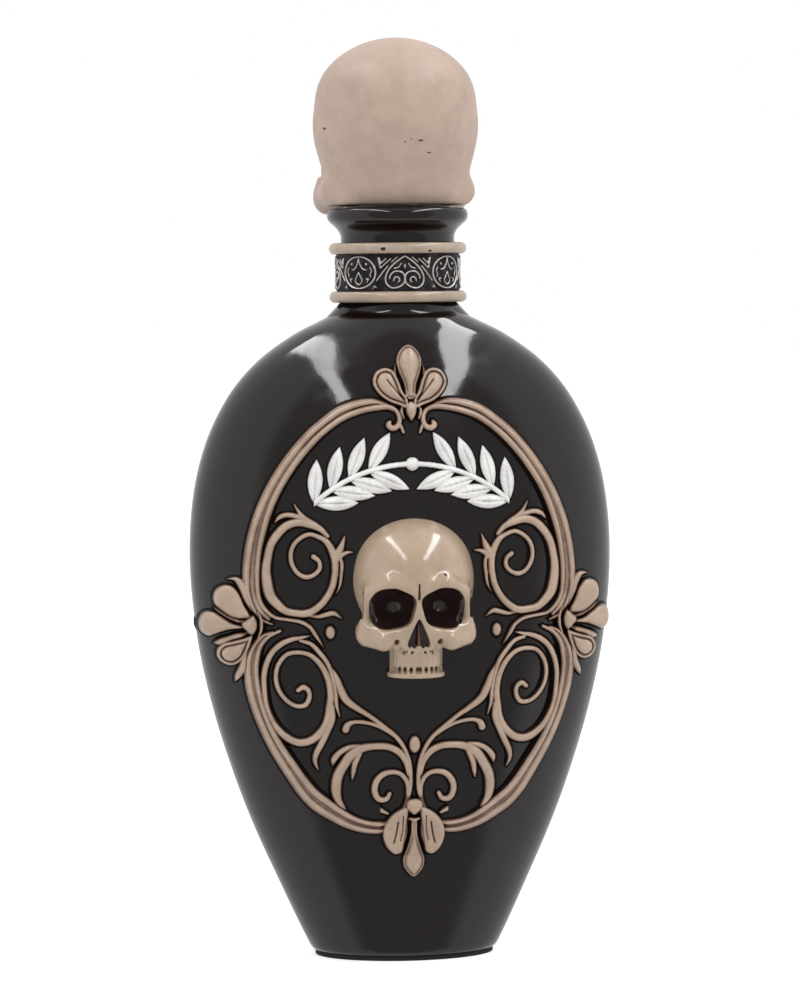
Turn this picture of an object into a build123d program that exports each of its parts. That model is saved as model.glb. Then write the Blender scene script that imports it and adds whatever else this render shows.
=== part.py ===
# A poison bottle: a flattened, hollow bottle with a skull stopper, a pewter neck band and a scrolled
# cartouche round a small skull. Millimetres. The base rests on z = 0, the front faces -Y and +Z is up.
import os
from math import cos, degrees, radians, sin, sqrt

from build123d import *

os.makedirs("parts", exist_ok=True)

# The bottle's own sizes
body_height = 128.0
body_half_width = 41.8
body_half_depth = 22.8
pad_height = 1.0
wall = 3.2
floor_height = 6.0
neck_radius = 11.2
neck_wall = 2.0
bore_radius = neck_radius - neck_wall
ring_height = 2.2
ring_radius = 13.55
band_height = 7.3
band_thickness = 0.9
lip_height = 5.4
lip_radius = 13.9
neck_gap_height = 1.3
overrun = 5.0

# Heights that follow from those sizes
body_top = pad_height + body_height
lower_ring_bottom = body_top
band_bottom = lower_ring_bottom + ring_height
upper_ring_bottom = band_bottom + band_height
lip_bottom = upper_ring_bottom + ring_height + neck_gap_height
lip_top = lip_bottom + lip_height

# The cartouche on the front: its centre height, half sizes and the common width of a scroll's stroke
panel_height = 68.0
panel_half_width = 32.0
panel_half_height = 41.2
stroke_width = 1.8
casting_gap = 0.12


# Body outline, from the foot to the root of the neck: shares of the body's height, half width and half depth
body_shares = [
    (0.000, 0.438, 0.548), (0.038, 0.496, 0.597), (0.111, 0.599, 0.684), (0.185, 0.700, 0.763),
    (0.260, 0.788, 0.838), (0.370, 0.893, 0.925), (0.481, 0.966, 0.978), (0.609, 1.000, 1.000),
    (0.712, 0.977, 0.969), (0.786, 0.919, 0.912), (0.841, 0.841, 0.846), (0.879, 0.763, 0.785),
    (0.916, 0.653, 0.706), (0.954, 0.486, 0.614), (0.973, 0.369, 0.553), (0.986, 0.297, 0.504),
]


def body_stations():
    """Height, half width and half depth of each section, closing on the round neck."""
    stations = []
    for up, across, back in body_shares:
        stations.append((pad_height + up * body_height, across * body_half_width, back * body_half_depth))
    stations.append((body_top, neck_radius, neck_radius))
    return stations


def body_form(grow):
    """The body's outer form, grown outwards by one amount, or shrunk where the amount is negative."""
    with BuildPart() as form:
        for height, half_width, half_depth in body_stations():
            with BuildSketch(Plane.XY.offset(height)):
                Ellipse(half_width + grow, half_depth + grow)
        loft()
    return form.part


def front_depth(across, height):
    """How far the body's front lies before the middle plane, at one place of the front."""
    stations = body_stations()
    for low, high in zip(stations, stations[1:]):
        if low[0] <= height <= high[0]:
            share = (height - low[0]) / (high[0] - low[0])
            half_width = low[1] + share * (high[1] - low[1])
            half_depth = low[2] + share * (high[2] - low[2])
            return half_depth * sqrt(1 - (across / half_width) ** 2)
    raise ValueError("the place is off the body")


plain_body = body_form(0)


# Strokes of the left half of the cartouche. Each point holds shares of the panel's half width, of its
# half height, and of the stroke width.
upper_outer_moulding_shares = [
    (-0.145, 1.01, 0.43), (-0.23, 1.02, 0.75), (-0.325, 1.01, 0.91), (-0.43, 0.98, 0.96),
    (-0.53, 0.925, 0.96), (-0.62, 0.865, 0.96), (-0.75, 0.745, 0.96), (-0.855, 0.615, 0.96),
    (-0.94, 0.46, 0.91), (-0.985, 0.305, 0.91), (-0.995, 0.15, 0.8), (-0.975, 0.085, 0.64),
    (-0.945, 0.035, 0.53), (-0.905, 0.0, 0.43), (-0.845, -0.02, 0.27),
]
upper_inner_moulding_shares = [
    (-0.07, 0.955, 0.53), (-0.095, 0.98, 0.64), (-0.14, 0.995, 0.75), (-0.23, 0.99, 0.8),
    (-0.315, 0.975, 0.8), (-0.4, 0.95, 0.8), (-0.49, 0.905, 0.8), (-0.58, 0.845, 0.85),
    (-0.705, 0.73, 0.85), (-0.815, 0.59, 0.85), (-0.885, 0.445, 0.8), (-0.925, 0.29, 0.64),
    (-0.93, 0.155, 0.59), (-0.915, 0.09, 0.53), (-0.88, 0.045, 0.53), (-0.83, 0.015, 0.48),
    (-0.755, 0.005, 0.48), (-0.68, -0.005, 0.53), (-0.625, -0.03, 0.53), (-0.59, -0.07, 0.53),
    (-0.545, -0.125, 0.13),
]
upper_web_shares = [
    (-0.2, 1.005, 0.3), (-0.325, 0.993, 0.5), (-0.415, 0.965, 0.6), (-0.51, 0.915, 0.6),
    (-0.6, 0.855, 0.6), (-0.728, 0.738, 0.9), (-0.835, 0.603, 1.0), (-0.912, 0.453, 1.1),
    (-0.955, 0.298, 1.1), (-0.963, 0.152, 1.0), (-0.945, 0.09, 0.9), (-0.912, 0.04, 0.8),
    (-0.868, 0.007, 0.6),
]
upper_spur_shares = [
    (-0.97, 0.045, 0.27), (-1.0, 0.105, 0.75), (-1.02, 0.16, 1.07), (-1.055, 0.19, 0.64),
    (-1.105, 0.19, 0.13),
]
lower_outer_moulding_shares = [
    (-0.845, -0.055, 0.32), (-0.905, -0.075, 0.48), (-0.945, -0.11, 0.59), (-0.975, -0.155, 0.75),
    (-0.99, -0.21, 0.85), (-0.98, -0.32, 0.91), (-0.93, -0.455, 0.96), (-0.845, -0.605, 1.01),
    (-0.73, -0.755, 1.01), (-0.665, -0.83, 1.01), (-0.59, -0.89, 1.01), (-0.5, -0.935, 0.96),
    (-0.405, -0.975, 0.85), (-0.3, -1.0, 0.75), (-0.205, -1.005, 0.64), (-0.135, -0.99, 0.53),
]
lower_inner_moulding_shares = [
    (-0.8, -0.05, 0.43), (-0.87, -0.08, 0.53), (-0.915, -0.125, 0.59), (-0.935, -0.185, 0.64),
    (-0.94, -0.25, 0.64), (-0.91, -0.395, 0.75), (-0.84, -0.54, 0.85), (-0.73, -0.68, 0.91),
    (-0.6, -0.815, 0.91), (-0.52, -0.865, 0.91), (-0.44, -0.91, 0.8), (-0.36, -0.945, 0.69),
    (-0.28, -0.965, 0.64), (-0.195, -0.97, 0.64), (-0.135, -0.96, 0.53),
]
lower_web_shares = [
    (-0.888, -0.078, 0.4), (-0.93, -0.118, 0.6), (-0.955, -0.17, 0.8), (-0.965, -0.23, 0.9),
    (-0.945, -0.358, 1.0), (-0.885, -0.498, 1.1), (-0.788, -0.643, 1.2), (-0.665, -0.785, 1.2),
    (-0.555, -0.878, 1.1), (-0.47, -0.923, 0.9), (-0.383, -0.96, 0.7), (-0.29, -0.983, 0.6),
    (-0.2, -0.988, 0.5),
]
lower_spur_shares = [
    (-0.99, -0.115, 0.32), (-1.01, -0.175, 0.75), (-1.02, -0.23, 0.96), (-1.045, -0.27, 0.75),
    (-1.06, -0.295, 0.21),
]
upper_ring_shares = [
    (-0.515, 0.395, 0.53), (-0.56, 0.43, 0.8), (-0.62, 0.45, 0.96), (-0.69, 0.46, 1.01),
    (-0.755, 0.445, 1.07), (-0.81, 0.405, 1.07), (-0.85, 0.355, 1.07), (-0.87, 0.295, 1.07),
    (-0.88, 0.235, 1.17), (-0.875, 0.175, 1.33), (-0.855, 0.115, 1.33), (-0.815, 0.075, 1.17),
    (-0.765, 0.045, 1.01), (-0.705, 0.035, 0.96), (-0.64, 0.035, 0.96), (-0.575, 0.065, 0.91),
    (-0.525, 0.11, 0.85), (-0.49, 0.165, 0.85), (-0.475, 0.225, 0.85),
]
upper_spiral_shares = [
    (-0.475, 0.215, 0.85), (-0.475, 0.28, 0.91), (-0.495, 0.335, 0.91), (-0.53, 0.375, 0.75),
    (-0.575, 0.395, 0.64), (-0.625, 0.405, 0.59), (-0.68, 0.385, 0.59), (-0.72, 0.35, 0.59),
    (-0.735, 0.305, 0.59), (-0.725, 0.26, 0.59), (-0.69, 0.22, 0.59), (-0.645, 0.205, 0.64),
    (-0.6, 0.215, 0.59), (-0.565, 0.245, 0.59), (-0.57, 0.28, 0.59), (-0.6, 0.3, 0.69),
]
upper_leaf_left_shares = [
    (-0.645, 0.47, 0.53), (-0.705, 0.49, 0.64), (-0.755, 0.495, 0.64), (-0.795, 0.485, 0.59),
    (-0.825, 0.46, 0.21),
]
upper_leaf_top_shares = [
    (-0.585, 0.45, 0.64), (-0.64, 0.475, 0.64), (-0.675, 0.5, 0.53), (-0.71, 0.545, 0.16),
]
upper_trident_shares = [
    (-0.48, 0.265, 0.64), (-0.46, 0.31, 0.96), (-0.435, 0.35, 0.75), (-0.415, 0.395, 0.21),
]
upper_barb_shares = [(-0.455, 0.29, 0.64), (-0.43, 0.31, 0.64), (-0.4, 0.32, 0.48), (-0.365, 0.32, 0.13)]
upper_right_stroke_shares = [
    (-0.45, 0.31, 0.53), (-0.435, 0.265, 0.53), (-0.44, 0.21, 0.48), (-0.45, 0.16, 0.37),
    (-0.475, 0.12, 0.13),
]
upper_tail_shares = [
    (-0.64, 0.025, 0.32), (-0.575, 0.02, 0.53), (-0.525, 0.03, 0.64), (-0.485, 0.035, 0.64),
    (-0.435, 0.01, 0.13),
]
lower_ring_shares = [
    (-0.62, -0.07, 0.21), (-0.675, -0.08, 0.48), (-0.735, -0.09, 0.64), (-0.79, -0.11, 0.75),
    (-0.84, -0.145, 0.75), (-0.875, -0.195, 0.75), (-0.895, -0.26, 0.75), (-0.895, -0.325, 0.75),
    (-0.885, -0.4, 0.8), (-0.86, -0.46, 0.85), (-0.815, -0.52, 0.96), (-0.755, -0.56, 1.01),
    (-0.69, -0.58, 1.01), (-0.625, -0.57, 1.01), (-0.57, -0.535, 1.01), (-0.53, -0.485, 0.96),
    (-0.51, -0.415, 0.91),
]
lower_spiral_shares = [
    (-0.515, -0.425, 0.91), (-0.505, -0.35, 0.85), (-0.52, -0.275, 0.8), (-0.565, -0.205, 0.75),
    (-0.63, -0.16, 0.64), (-0.7, -0.15, 0.59), (-0.76, -0.16, 0.59), (-0.805, -0.2, 0.59),
    (-0.825, -0.25, 0.59), (-0.82, -0.305, 0.59), (-0.795, -0.35, 0.59), (-0.755, -0.385, 0.59),
    (-0.705, -0.405, 0.59), (-0.655, -0.4, 0.64), (-0.63, -0.365, 0.64), (-0.635, -0.33, 0.64),
    (-0.665, -0.315, 0.69), (-0.695, -0.33, 0.59),
]
lower_right_stroke_shares = [
    (-0.68, -0.095, 0.48), (-0.62, -0.11, 0.59), (-0.565, -0.155, 0.64), (-0.52, -0.205, 0.64),
    (-0.49, -0.275, 0.59), (-0.475, -0.34, 0.59), (-0.47, -0.4, 0.53), (-0.45, -0.455, 0.21),
]
lower_tail_shares = [
    (-0.5, -0.405, 0.75), (-0.495, -0.465, 0.8), (-0.525, -0.525, 0.85), (-0.56, -0.585, 0.85),
    (-0.59, -0.635, 0.75), (-0.595, -0.67, 0.59), (-0.575, -0.71, 0.21),
]
stem_shares = [
    (-0.495, -0.225, 0.27), (-0.47, -0.27, 0.75), (-0.445, -0.325, 1.01), (-0.41, -0.375, 1.01),
    (-0.345, -0.415, 0.8), (-0.265, -0.455, 0.64), (-0.19, -0.5, 0.59), (-0.115, -0.55, 0.59),
    (-0.065, -0.605, 0.59), (-0.035, -0.665, 0.59), (-0.025, -0.725, 0.59), (-0.025, -0.79, 0.59),
    (-0.04, -0.845, 0.64), (-0.06, -0.895, 0.69), (-0.09, -0.935, 0.64),
]
stem_curl_shares = [
    (-0.1, -0.565, 0.32), (-0.165, -0.525, 0.48), (-0.235, -0.495, 0.53), (-0.31, -0.48, 0.53),
    (-0.37, -0.48, 0.59), (-0.405, -0.495, 0.85), (-0.415, -0.515, 0.96),
]
bottom_ring_shares = [
    (-0.035, -0.73, 0.59), (-0.055, -0.67, 0.75), (-0.095, -0.625, 0.91), (-0.155, -0.6, 0.91),
    (-0.235, -0.595, 0.91), (-0.315, -0.605, 1.07), (-0.38, -0.635, 1.28), (-0.425, -0.685, 1.28),
    (-0.46, -0.74, 1.28), (-0.47, -0.805, 1.28), (-0.455, -0.86, 0.96), (-0.42, -0.895, 0.53),
]
bottom_leaf_left_shares = [
    (-0.33, -0.59, 0.4), (-0.395, -0.6, 0.64), (-0.45, -0.625, 0.75), (-0.485, -0.66, 0.75),
    (-0.49, -0.685, 0.27),
]
bottom_leaf_inner_shares = [
    (-0.33, -0.63, 0.64), (-0.36, -0.68, 0.75), (-0.37, -0.725, 0.59), (-0.375, -0.755, 0.21),
]
bottom_spiral_shares = [
    (-0.06, -0.895, 0.53), (-0.04, -0.84, 0.59), (-0.04, -0.79, 0.59), (-0.055, -0.755, 0.64),
    (-0.085, -0.73, 0.64), (-0.13, -0.72, 0.69), (-0.19, -0.73, 0.8), (-0.23, -0.765, 0.85),
    (-0.24, -0.81, 0.85), (-0.215, -0.85, 0.8), (-0.17, -0.85, 0.69), (-0.15, -0.825, 0.59),
]
# Closed outlines of the petals, in shares of the panel's half width and half height
top_centre_petal_shares = [
    (0.0, 1.285), (-0.055, 1.255), (-0.075, 1.21), (-0.068, 1.16), (-0.04, 1.1), (-0.02, 1.03),
    (0.02, 1.03), (0.04, 1.1), (0.068, 1.16), (0.075, 1.21), (0.055, 1.255),
]
top_side_petal_shares = [
    (-0.035, 0.99), (-0.105, 1.01), (-0.17, 1.035), (-0.215, 1.08), (-0.225, 1.125), (-0.195, 1.165),
    (-0.14, 1.175), (-0.095, 1.155), (-0.065, 1.115), (-0.045, 1.07), (-0.015, 1.02),
]
top_hub_shares = [
    (0.0, 1.04), (-0.035, 1.0), (-0.04, 0.965), (0.0, 0.93), (0.04, 0.965), (0.035, 1.0),
]
side_lobe_upper_shares = [
    (-0.97, 0.01), (-1.01, 0.07), (-1.035, 0.12), (-1.07, 0.155), (-1.12, 0.165), (-1.17, 0.145),
    (-1.19, 0.1), (-1.175, 0.06), (-1.135, 0.035), (-1.07, 0.01),
]
side_lobe_middle_shares = [
    (-0.98, -0.04), (-1.08, -0.015), (-1.14, 0.015), (-1.19, 0.035), (-1.23, 0.035), (-1.265, 0.005),
    (-1.275, -0.035), (-1.265, -0.065), (-1.22, -0.09), (-1.165, -0.085), (-1.1, -0.065),
]
side_lobe_lower_shares = [
    (-0.96, -0.07), (-1.01, -0.085), (-1.07, -0.09), (-1.13, -0.11), (-1.16, -0.145), (-1.16, -0.185),
    (-1.12, -0.215), (-1.07, -0.22), (-1.02, -0.19), (-0.985, -0.145),
]
side_hub_shares = [
    (-0.96, 0.035), (-1.01, 0.015), (-1.05, -0.03), (-1.01, -0.08), (-0.96, -0.095), (-0.925, -0.06),
    (-0.92, -0.02), (-0.935, 0.01),
]
bottom_centre_petal_shares = [
    (-0.02, -0.96), (-0.025, -1.025), (-0.04, -1.085), (-0.06, -1.145), (-0.045, -1.19), (0.0, -1.225),
    (0.045, -1.19), (0.06, -1.145), (0.04, -1.085), (0.025, -1.025), (0.02, -0.96),
]
bottom_side_petal_shares = [
    (-0.02, -0.9), (-0.1, -0.92), (-0.155, -0.95), (-0.185, -0.995), (-0.185, -1.05), (-0.155, -1.095),
    (-0.105, -1.12), (-0.06, -1.105), (-0.045, -1.055), (-0.03, -0.985),
]
bottom_hub_shares = [
    (0.0, -0.85), (-0.05, -0.87), (-0.06, -0.9), (-0.04, -0.94), (0.0, -0.96), (0.04, -0.94),
    (0.06, -0.9), (0.05, -0.87),
]


def on_panel(across_share, up_share):
    """A drawn place of the cartouche, in millimetres across the front and up the bottle."""
    return Vector(across_share * panel_half_width, panel_height + up_share * panel_half_height)


def ribbon(stroke_shares, margin=0):
    """A stroke with a swelling and tapering width, as a flat face with rounded ends."""
    centres = [on_panel(across, up) for across, up, breadth in stroke_shares]
    half_widths = [breadth * stroke_width / 2 + margin for across, up, breadth in stroke_shares]
    left = []
    right = []
    last = len(centres) - 1
    for place, (centre, half_width) in enumerate(zip(centres, half_widths)):
        along = (centres[min(place + 1, last)] - centres[max(place - 1, 0)]).normalized()
        aside = Vector(-along.Y, along.X) * half_width
        left.append(centre + aside)
        right.append(centre - aside)
    head = centres[0] - (centres[1] - centres[0]).normalized() * half_widths[0]
    tip = centres[-1] + (centres[-1] - centres[-2]).normalized() * half_widths[-1]
    with BuildSketch() as stroke:
        with BuildLine():
            Spline(*left)
            ThreePointArc(left[-1], tip, right[-1])
            Spline(*reversed(right))
            ThreePointArc(right[0], head, left[0])
        make_face()
    return stroke.sketch


def petal(outline_shares, margin=0):
    """A closed, soft outline as a flat face, wider all round by the margin."""
    points = [on_panel(across, up) for across, up in outline_shares]
    middle = sum(points, Vector(0, 0)) / len(points)
    with BuildSketch() as blade:
        with BuildLine():
            Spline(*[point + (point - middle).normalized() * margin for point in points], periodic=True)
        make_face()
    return blade.sketch


def casting(shapes, relief, neighbours=()):
    """Applied ornament: flat shapes, cut back round their neighbours, standing up from the body."""
    with BuildPart() as ornament:
        with BuildSketch(Plane.XZ):
            for shape in shapes:
                add(shape)
            for neighbour in neighbours:
                add(neighbour, mode=Mode.SUBTRACT)
        extrude(amount=body_half_depth + relief + overrun)
        add(body_form(relief), mode=Mode.INTERSECT)
        add(plain_body, mode=Mode.SUBTRACT)
    return ornament.part


# Small flat pad under the foot
pad_inset = 0.6
with BuildPart() as base_pad:
    with BuildSketch(Plane.XY):
        Ellipse(
            body_shares[0][1] * body_half_width - pad_inset,
            body_shares[0][2] * body_half_depth - pad_inset,
        )
    extrude(amount=pad_height)
base_pad.part.label = "base_pad"


# Hollow body: the flattened shell, its plain neck and a flared lip
lip_shares = [(0.07, 0.11), (0.37, 0.32), (0.85, 0.54), (1.0, 0.73), (0.93, 0.93), (0.75, 1.0)]


def cavity_form():
    """The hollow inside: the body shrunk by the wall, above the floor, with the neck's bore."""
    with BuildPart() as cavity:
        add(body_form(-wall))
        with BuildSketch(Plane.XY):
            Rectangle(2 * body_half_width, 2 * body_half_depth)
        extrude(amount=pad_height + floor_height, mode=Mode.SUBTRACT)
        with BuildSketch(Plane.XY.offset(body_top - overrun)):
            Circle(bore_radius)
        extrude(amount=overrun + lip_top - body_top + overrun)
    return cavity.part


with BuildPart() as bottle_body:
    add(plain_body)
    with BuildSketch(Plane.XZ):
        with BuildLine():
            flare = [(neck_radius, lip_bottom)]
            for out, up in lip_shares:
                flare.append((neck_radius + out * (lip_radius - neck_radius), lip_bottom + up * lip_height))
            Polyline((0, lip_top), (0, body_top), (neck_radius, body_top), flare[0])
            Spline(*flare)
            Line(flare[-1], (0, lip_top))
        make_face()
    revolve(axis=Axis.Z)
    add(cavity_form(), mode=Mode.SUBTRACT)
bottle_body.part.label = "bottle_body"


# Two bone-coloured rings with rounded rims, above and below the neck band
ring_round_share = 0.4


def neck_ring(bottom):
    """One ring on the neck, from its bottom height."""
    rim = ring_radius - ring_round_share * ring_height
    with BuildPart() as ring:
        with BuildSketch(Plane.XZ):
            with BuildLine():
                Polyline((rim, bottom), (neck_radius, bottom), (neck_radius, bottom + ring_height),
                         (rim, bottom + ring_height))
                ThreePointArc(
                    (rim, bottom + ring_height),
                    (ring_radius, bottom + ring_height / 2),
                    (rim, bottom),
                )
            make_face()
        revolve(axis=Axis.Z)
    return ring.part


with BuildPart() as lower_neck_ring:
    add(neck_ring(lower_ring_bottom))
lower_neck_ring.part.label = "lower_neck_ring"

with BuildPart() as upper_neck_ring:
    add(neck_ring(upper_ring_bottom))
upper_neck_ring.part.label = "upper_neck_ring"


# Pewter band between the rings: a plain tube with upturned hearts and oval medals by turns
band_radius = neck_radius + band_thickness
band_relief = 0.5
motif_count = 8
motif_half_width = 3.6
motif_half_height = 3.15
motif_stroke = 0.7
heart_shares = [
    (0.0, 1.0), (-0.55, 0.42), (-0.95, -0.15), (-0.9, -0.72), (-0.48, -0.98), (-0.12, -0.78),
    (0.0, -0.45),
]
heart_hollow_share = 0.7


def medal():
    """An oval frame, as a flat shape."""
    with BuildSketch() as shape:
        Ellipse(motif_half_width, motif_half_height)
        Ellipse(motif_half_width - motif_stroke, motif_half_height - motif_stroke, mode=Mode.SUBTRACT)
    return shape.sketch


def heart():
    """A heart outline with its tip up, as a flat shape."""
    with BuildSketch() as shape:
        for size, mode in ((1, Mode.ADD), (heart_hollow_share, Mode.SUBTRACT)):
            half = [(out * size * motif_half_width, up * size * motif_half_height) for out, up in heart_shares]
            with BuildLine():
                Spline(*half)
                Spline(*[(-out, up) for out, up in reversed(half)])
            make_face(mode=mode)
    return shape.sketch


def on_band(shape):
    """A flat shape, raised from the front of the band."""
    with BuildPart() as raised:
        with BuildSketch(Plane.XZ):
            with Locations((0, band_bottom + band_height / 2)):
                add(shape)
        extrude(amount=band_radius + overrun)
        with BuildSketch(Plane.XY.offset(band_bottom)):
            Circle(band_radius + band_relief)
        extrude(amount=band_height, mode=Mode.INTERSECT)
        with BuildSketch(Plane.XY.offset(band_bottom)):
            Circle(band_radius - band_relief / 2)
        extrude(amount=band_height, mode=Mode.SUBTRACT)
    return raised.part


with BuildPart() as neck_band:
    with BuildSketch(Plane.XY.offset(band_bottom)):
        Circle(band_radius)
    extrude(amount=band_height)
    for place in range(motif_count):
        motif = heart() if place % 2 == 0 else medal()
        add(on_band(motif), rotation=(0, 0, place * 360 / motif_count))
    with BuildSketch(Plane.XY.offset(band_bottom)):
        Circle(neck_radius)
    extrude(amount=band_height, mode=Mode.SUBTRACT)
neck_band.part.label = "neck_band"


# Crests at the four ends of the cartouche. They lie over the frame, so they are drawn first.
crest_relief = 2.2
top_outlines = [top_centre_petal_shares, top_side_petal_shares, top_hub_shares]
top_outlines.append([(-across, up) for across, up in reversed(top_side_petal_shares)])
bottom_outlines = [bottom_centre_petal_shares, bottom_side_petal_shares, bottom_hub_shares]
bottom_outlines.append([(-across, up) for across, up in reversed(bottom_side_petal_shares)])
side_outlines = [side_lobe_upper_shares, side_lobe_middle_shares, side_lobe_lower_shares, side_hub_shares]

with BuildPart() as top_crest:
    add(casting([petal(outline) for outline in top_outlines], crest_relief))
top_crest.part.label = "top_crest"

with BuildPart() as bottom_crest:
    add(casting([petal(outline) for outline in bottom_outlines], crest_relief))
bottom_crest.part.label = "bottom_crest"

with BuildPart() as left_crest:
    add(casting([petal(outline) for outline in side_outlines], crest_relief))
left_crest.part.label = "left_crest"

with BuildPart() as right_crest:
    mirror(left_crest.part, about=Plane.YZ)
right_crest.part.label = "right_crest"


# Double mouldings of the frame: an outer and an inner strand on a low web, with a thorn at the side
moulding_relief = 1.5
web_relief = 0.6
upper_strands = [upper_outer_moulding_shares, upper_inner_moulding_shares, upper_spur_shares]
lower_strands = [lower_outer_moulding_shares, lower_inner_moulding_shares, lower_spur_shares]
crests = [petal(outline, casting_gap) for outline in top_outlines + bottom_outlines + side_outlines]

with BuildPart() as upper_left_frame:
    add(casting([ribbon(upper_web_shares)], web_relief, crests))
    add(casting([ribbon(stroke) for stroke in upper_strands], moulding_relief, crests))
upper_left_frame.part.label = "upper_left_frame"

with BuildPart() as upper_right_frame:
    mirror(upper_left_frame.part, about=Plane.YZ)
upper_right_frame.part.label = "upper_right_frame"

with BuildPart() as lower_left_frame:
    add(casting([ribbon(lower_web_shares)], web_relief, crests))
    add(casting([ribbon(stroke) for stroke in lower_strands], moulding_relief, crests))
lower_left_frame.part.label = "lower_left_frame"

with BuildPart() as lower_right_frame:
    mirror(lower_left_frame.part, about=Plane.YZ)
lower_right_frame.part.label = "lower_right_frame"


# Scrolls inside the frame: a ring, a spiral that winds out of it, and its leaves
scroll_relief = 1.2
upper_neighbours = [ribbon(stroke, casting_gap) for stroke in upper_strands]
lower_neighbours = [ribbon(stroke, casting_gap) for stroke in lower_strands]
lower_neighbours += [petal(outline, casting_gap) for outline in bottom_outlines]

with BuildPart() as upper_left_scroll:
    strokes = [
        upper_ring_shares, upper_spiral_shares, upper_leaf_left_shares, upper_leaf_top_shares,
        upper_trident_shares, upper_barb_shares, upper_right_stroke_shares, upper_tail_shares,
    ]
    add(casting([ribbon(stroke) for stroke in strokes], scroll_relief, upper_neighbours))
upper_left_scroll.part.label = "upper_left_scroll"

with BuildPart() as upper_right_scroll:
    mirror(upper_left_scroll.part, about=Plane.YZ)
upper_right_scroll.part.label = "upper_right_scroll"

with BuildPart() as lower_left_scroll:
    lower_strokes = [lower_ring_shares, lower_spiral_shares, lower_right_stroke_shares, lower_tail_shares]
    add(casting([ribbon(stroke) for stroke in lower_strokes], scroll_relief, lower_neighbours))
lower_left_scroll.part.label = "lower_left_scroll"

with BuildPart() as lower_right_scroll:
    mirror(lower_left_scroll.part, about=Plane.YZ)
lower_right_scroll.part.label = "lower_right_scroll"

with BuildPart() as bottom_left_scroll:
    strokes = [
        stem_shares, stem_curl_shares, bottom_ring_shares, bottom_leaf_left_shares,
        bottom_leaf_inner_shares, bottom_spiral_shares,
    ]
    neighbours = lower_neighbours + [ribbon(stroke, casting_gap) for stroke in lower_strokes]
    add(casting([ribbon(stroke) for stroke in strokes], scroll_relief, neighbours))
bottom_left_scroll.part.label = "bottom_left_scroll"

with BuildPart() as bottom_right_scroll:
    mirror(bottom_left_scroll.part, about=Plane.YZ)
bottom_right_scroll.part.label = "bottom_right_scroll"


# Three loose beads in the gaps of the scrollwork
side_bead_share = (-0.505, -0.055)
drop_bead_share = (0.0, -0.59)
side_bead_half_width = 1.0
side_bead_half_height = 1.4
drop_bead_half_width = 1.2
drop_bead_half_height = 1.8


def bead(place_share, half_width, half_height):
    """An egg-shaped bead, sunk to its middle in the front."""
    place = on_panel(*place_share)
    with BuildPart() as egg:
        Sphere(half_width)
        scale(by=(1, 1, half_height / half_width))
    with BuildPart() as set_bead:
        with Locations((place.X, -front_depth(place.X, place.Y), place.Y)):
            add(egg.part)
        add(plain_body, mode=Mode.SUBTRACT)
    return set_bead.part


with BuildPart() as left_bead:
    add(bead(side_bead_share, side_bead_half_width, side_bead_half_height))
left_bead.part.label = "left_bead"

with BuildPart() as right_bead:
    mirror(left_bead.part, about=Plane.YZ)
right_bead.part.label = "right_bead"

with BuildPart() as drop_bead:
    add(bead(drop_bead_share, drop_bead_half_width, drop_bead_half_height))
drop_bead.part.label = "drop_bead"


# White laurel garland over the small skull: two sprays that meet at a berry
garland_height = 98.0
garland_half_span = 19.0
garland_rise = 7.5
garland_relief = 1.1
garland_stem_width = 1.0
berry_radius = 1.3
leaf_length = 8.6
leaf_half_width = 1.45
leaf_pitch = 4.1
leaf_pairs = 4
leaf_lean = 42
garland_radius = (garland_half_span ** 2 + garland_rise ** 2) / (2 * garland_rise)


def leaf(foot, heading):
    """A pointed leaf from its foot, along a heading in degrees from the level."""
    ahead = Vector(cos(radians(heading)), sin(radians(heading)))
    aside = Vector(-ahead.Y, ahead.X) * leaf_half_width
    middle = foot + ahead * leaf_length / 2
    tip = foot + ahead * leaf_length
    with BuildSketch() as blade:
        with BuildLine():
            ThreePointArc(foot, middle + aside, tip)
            ThreePointArc(tip, middle - aside, foot)
        make_face()
    return blade.sketch


def spray():
    """The left half of the garland as flat shapes: the arched stem and its leaves in pairs."""
    centre = Vector(0, garland_height - garland_radius)
    half_stem = garland_stem_width / 2
    foot_angle = 90 + Vector(0, 1).get_angle(Vector(-garland_half_span, garland_radius - garland_rise))
    arc_start = centre + Vector(cos(radians(foot_angle)), sin(radians(foot_angle))) * garland_radius
    with BuildSketch() as stem:
        with Locations((centre.X, centre.Y)):
            Circle(garland_radius + half_stem)
            Circle(garland_radius - half_stem, mode=Mode.SUBTRACT)
        with Locations((arc_start.X / 2, garland_height)):
            Rectangle(abs(arc_start.X), 2 * (garland_height - arc_start.Y), mode=Mode.INTERSECT)
    shapes = [stem.sketch]
    for pair in range(leaf_pairs):
        turned = foot_angle - degrees(pair * leaf_pitch / garland_radius)
        foot = centre + Vector(cos(radians(turned)), sin(radians(turned))) * garland_radius
        for lean in (leaf_lean, -leaf_lean):
            shapes.append(leaf(foot, turned - 90 + lean))
    return shapes


with BuildPart() as laurel_garland:
    shapes = spray()
    with BuildSketch() as berry:
        with Locations((0, garland_height)):
            Circle(berry_radius)
    shapes.append(berry.sketch)
    half = casting(shapes, garland_relief)
    add(half)
    mirror(half, about=Plane.YZ)
laurel_garland.part.label = "laurel_garland"


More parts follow.
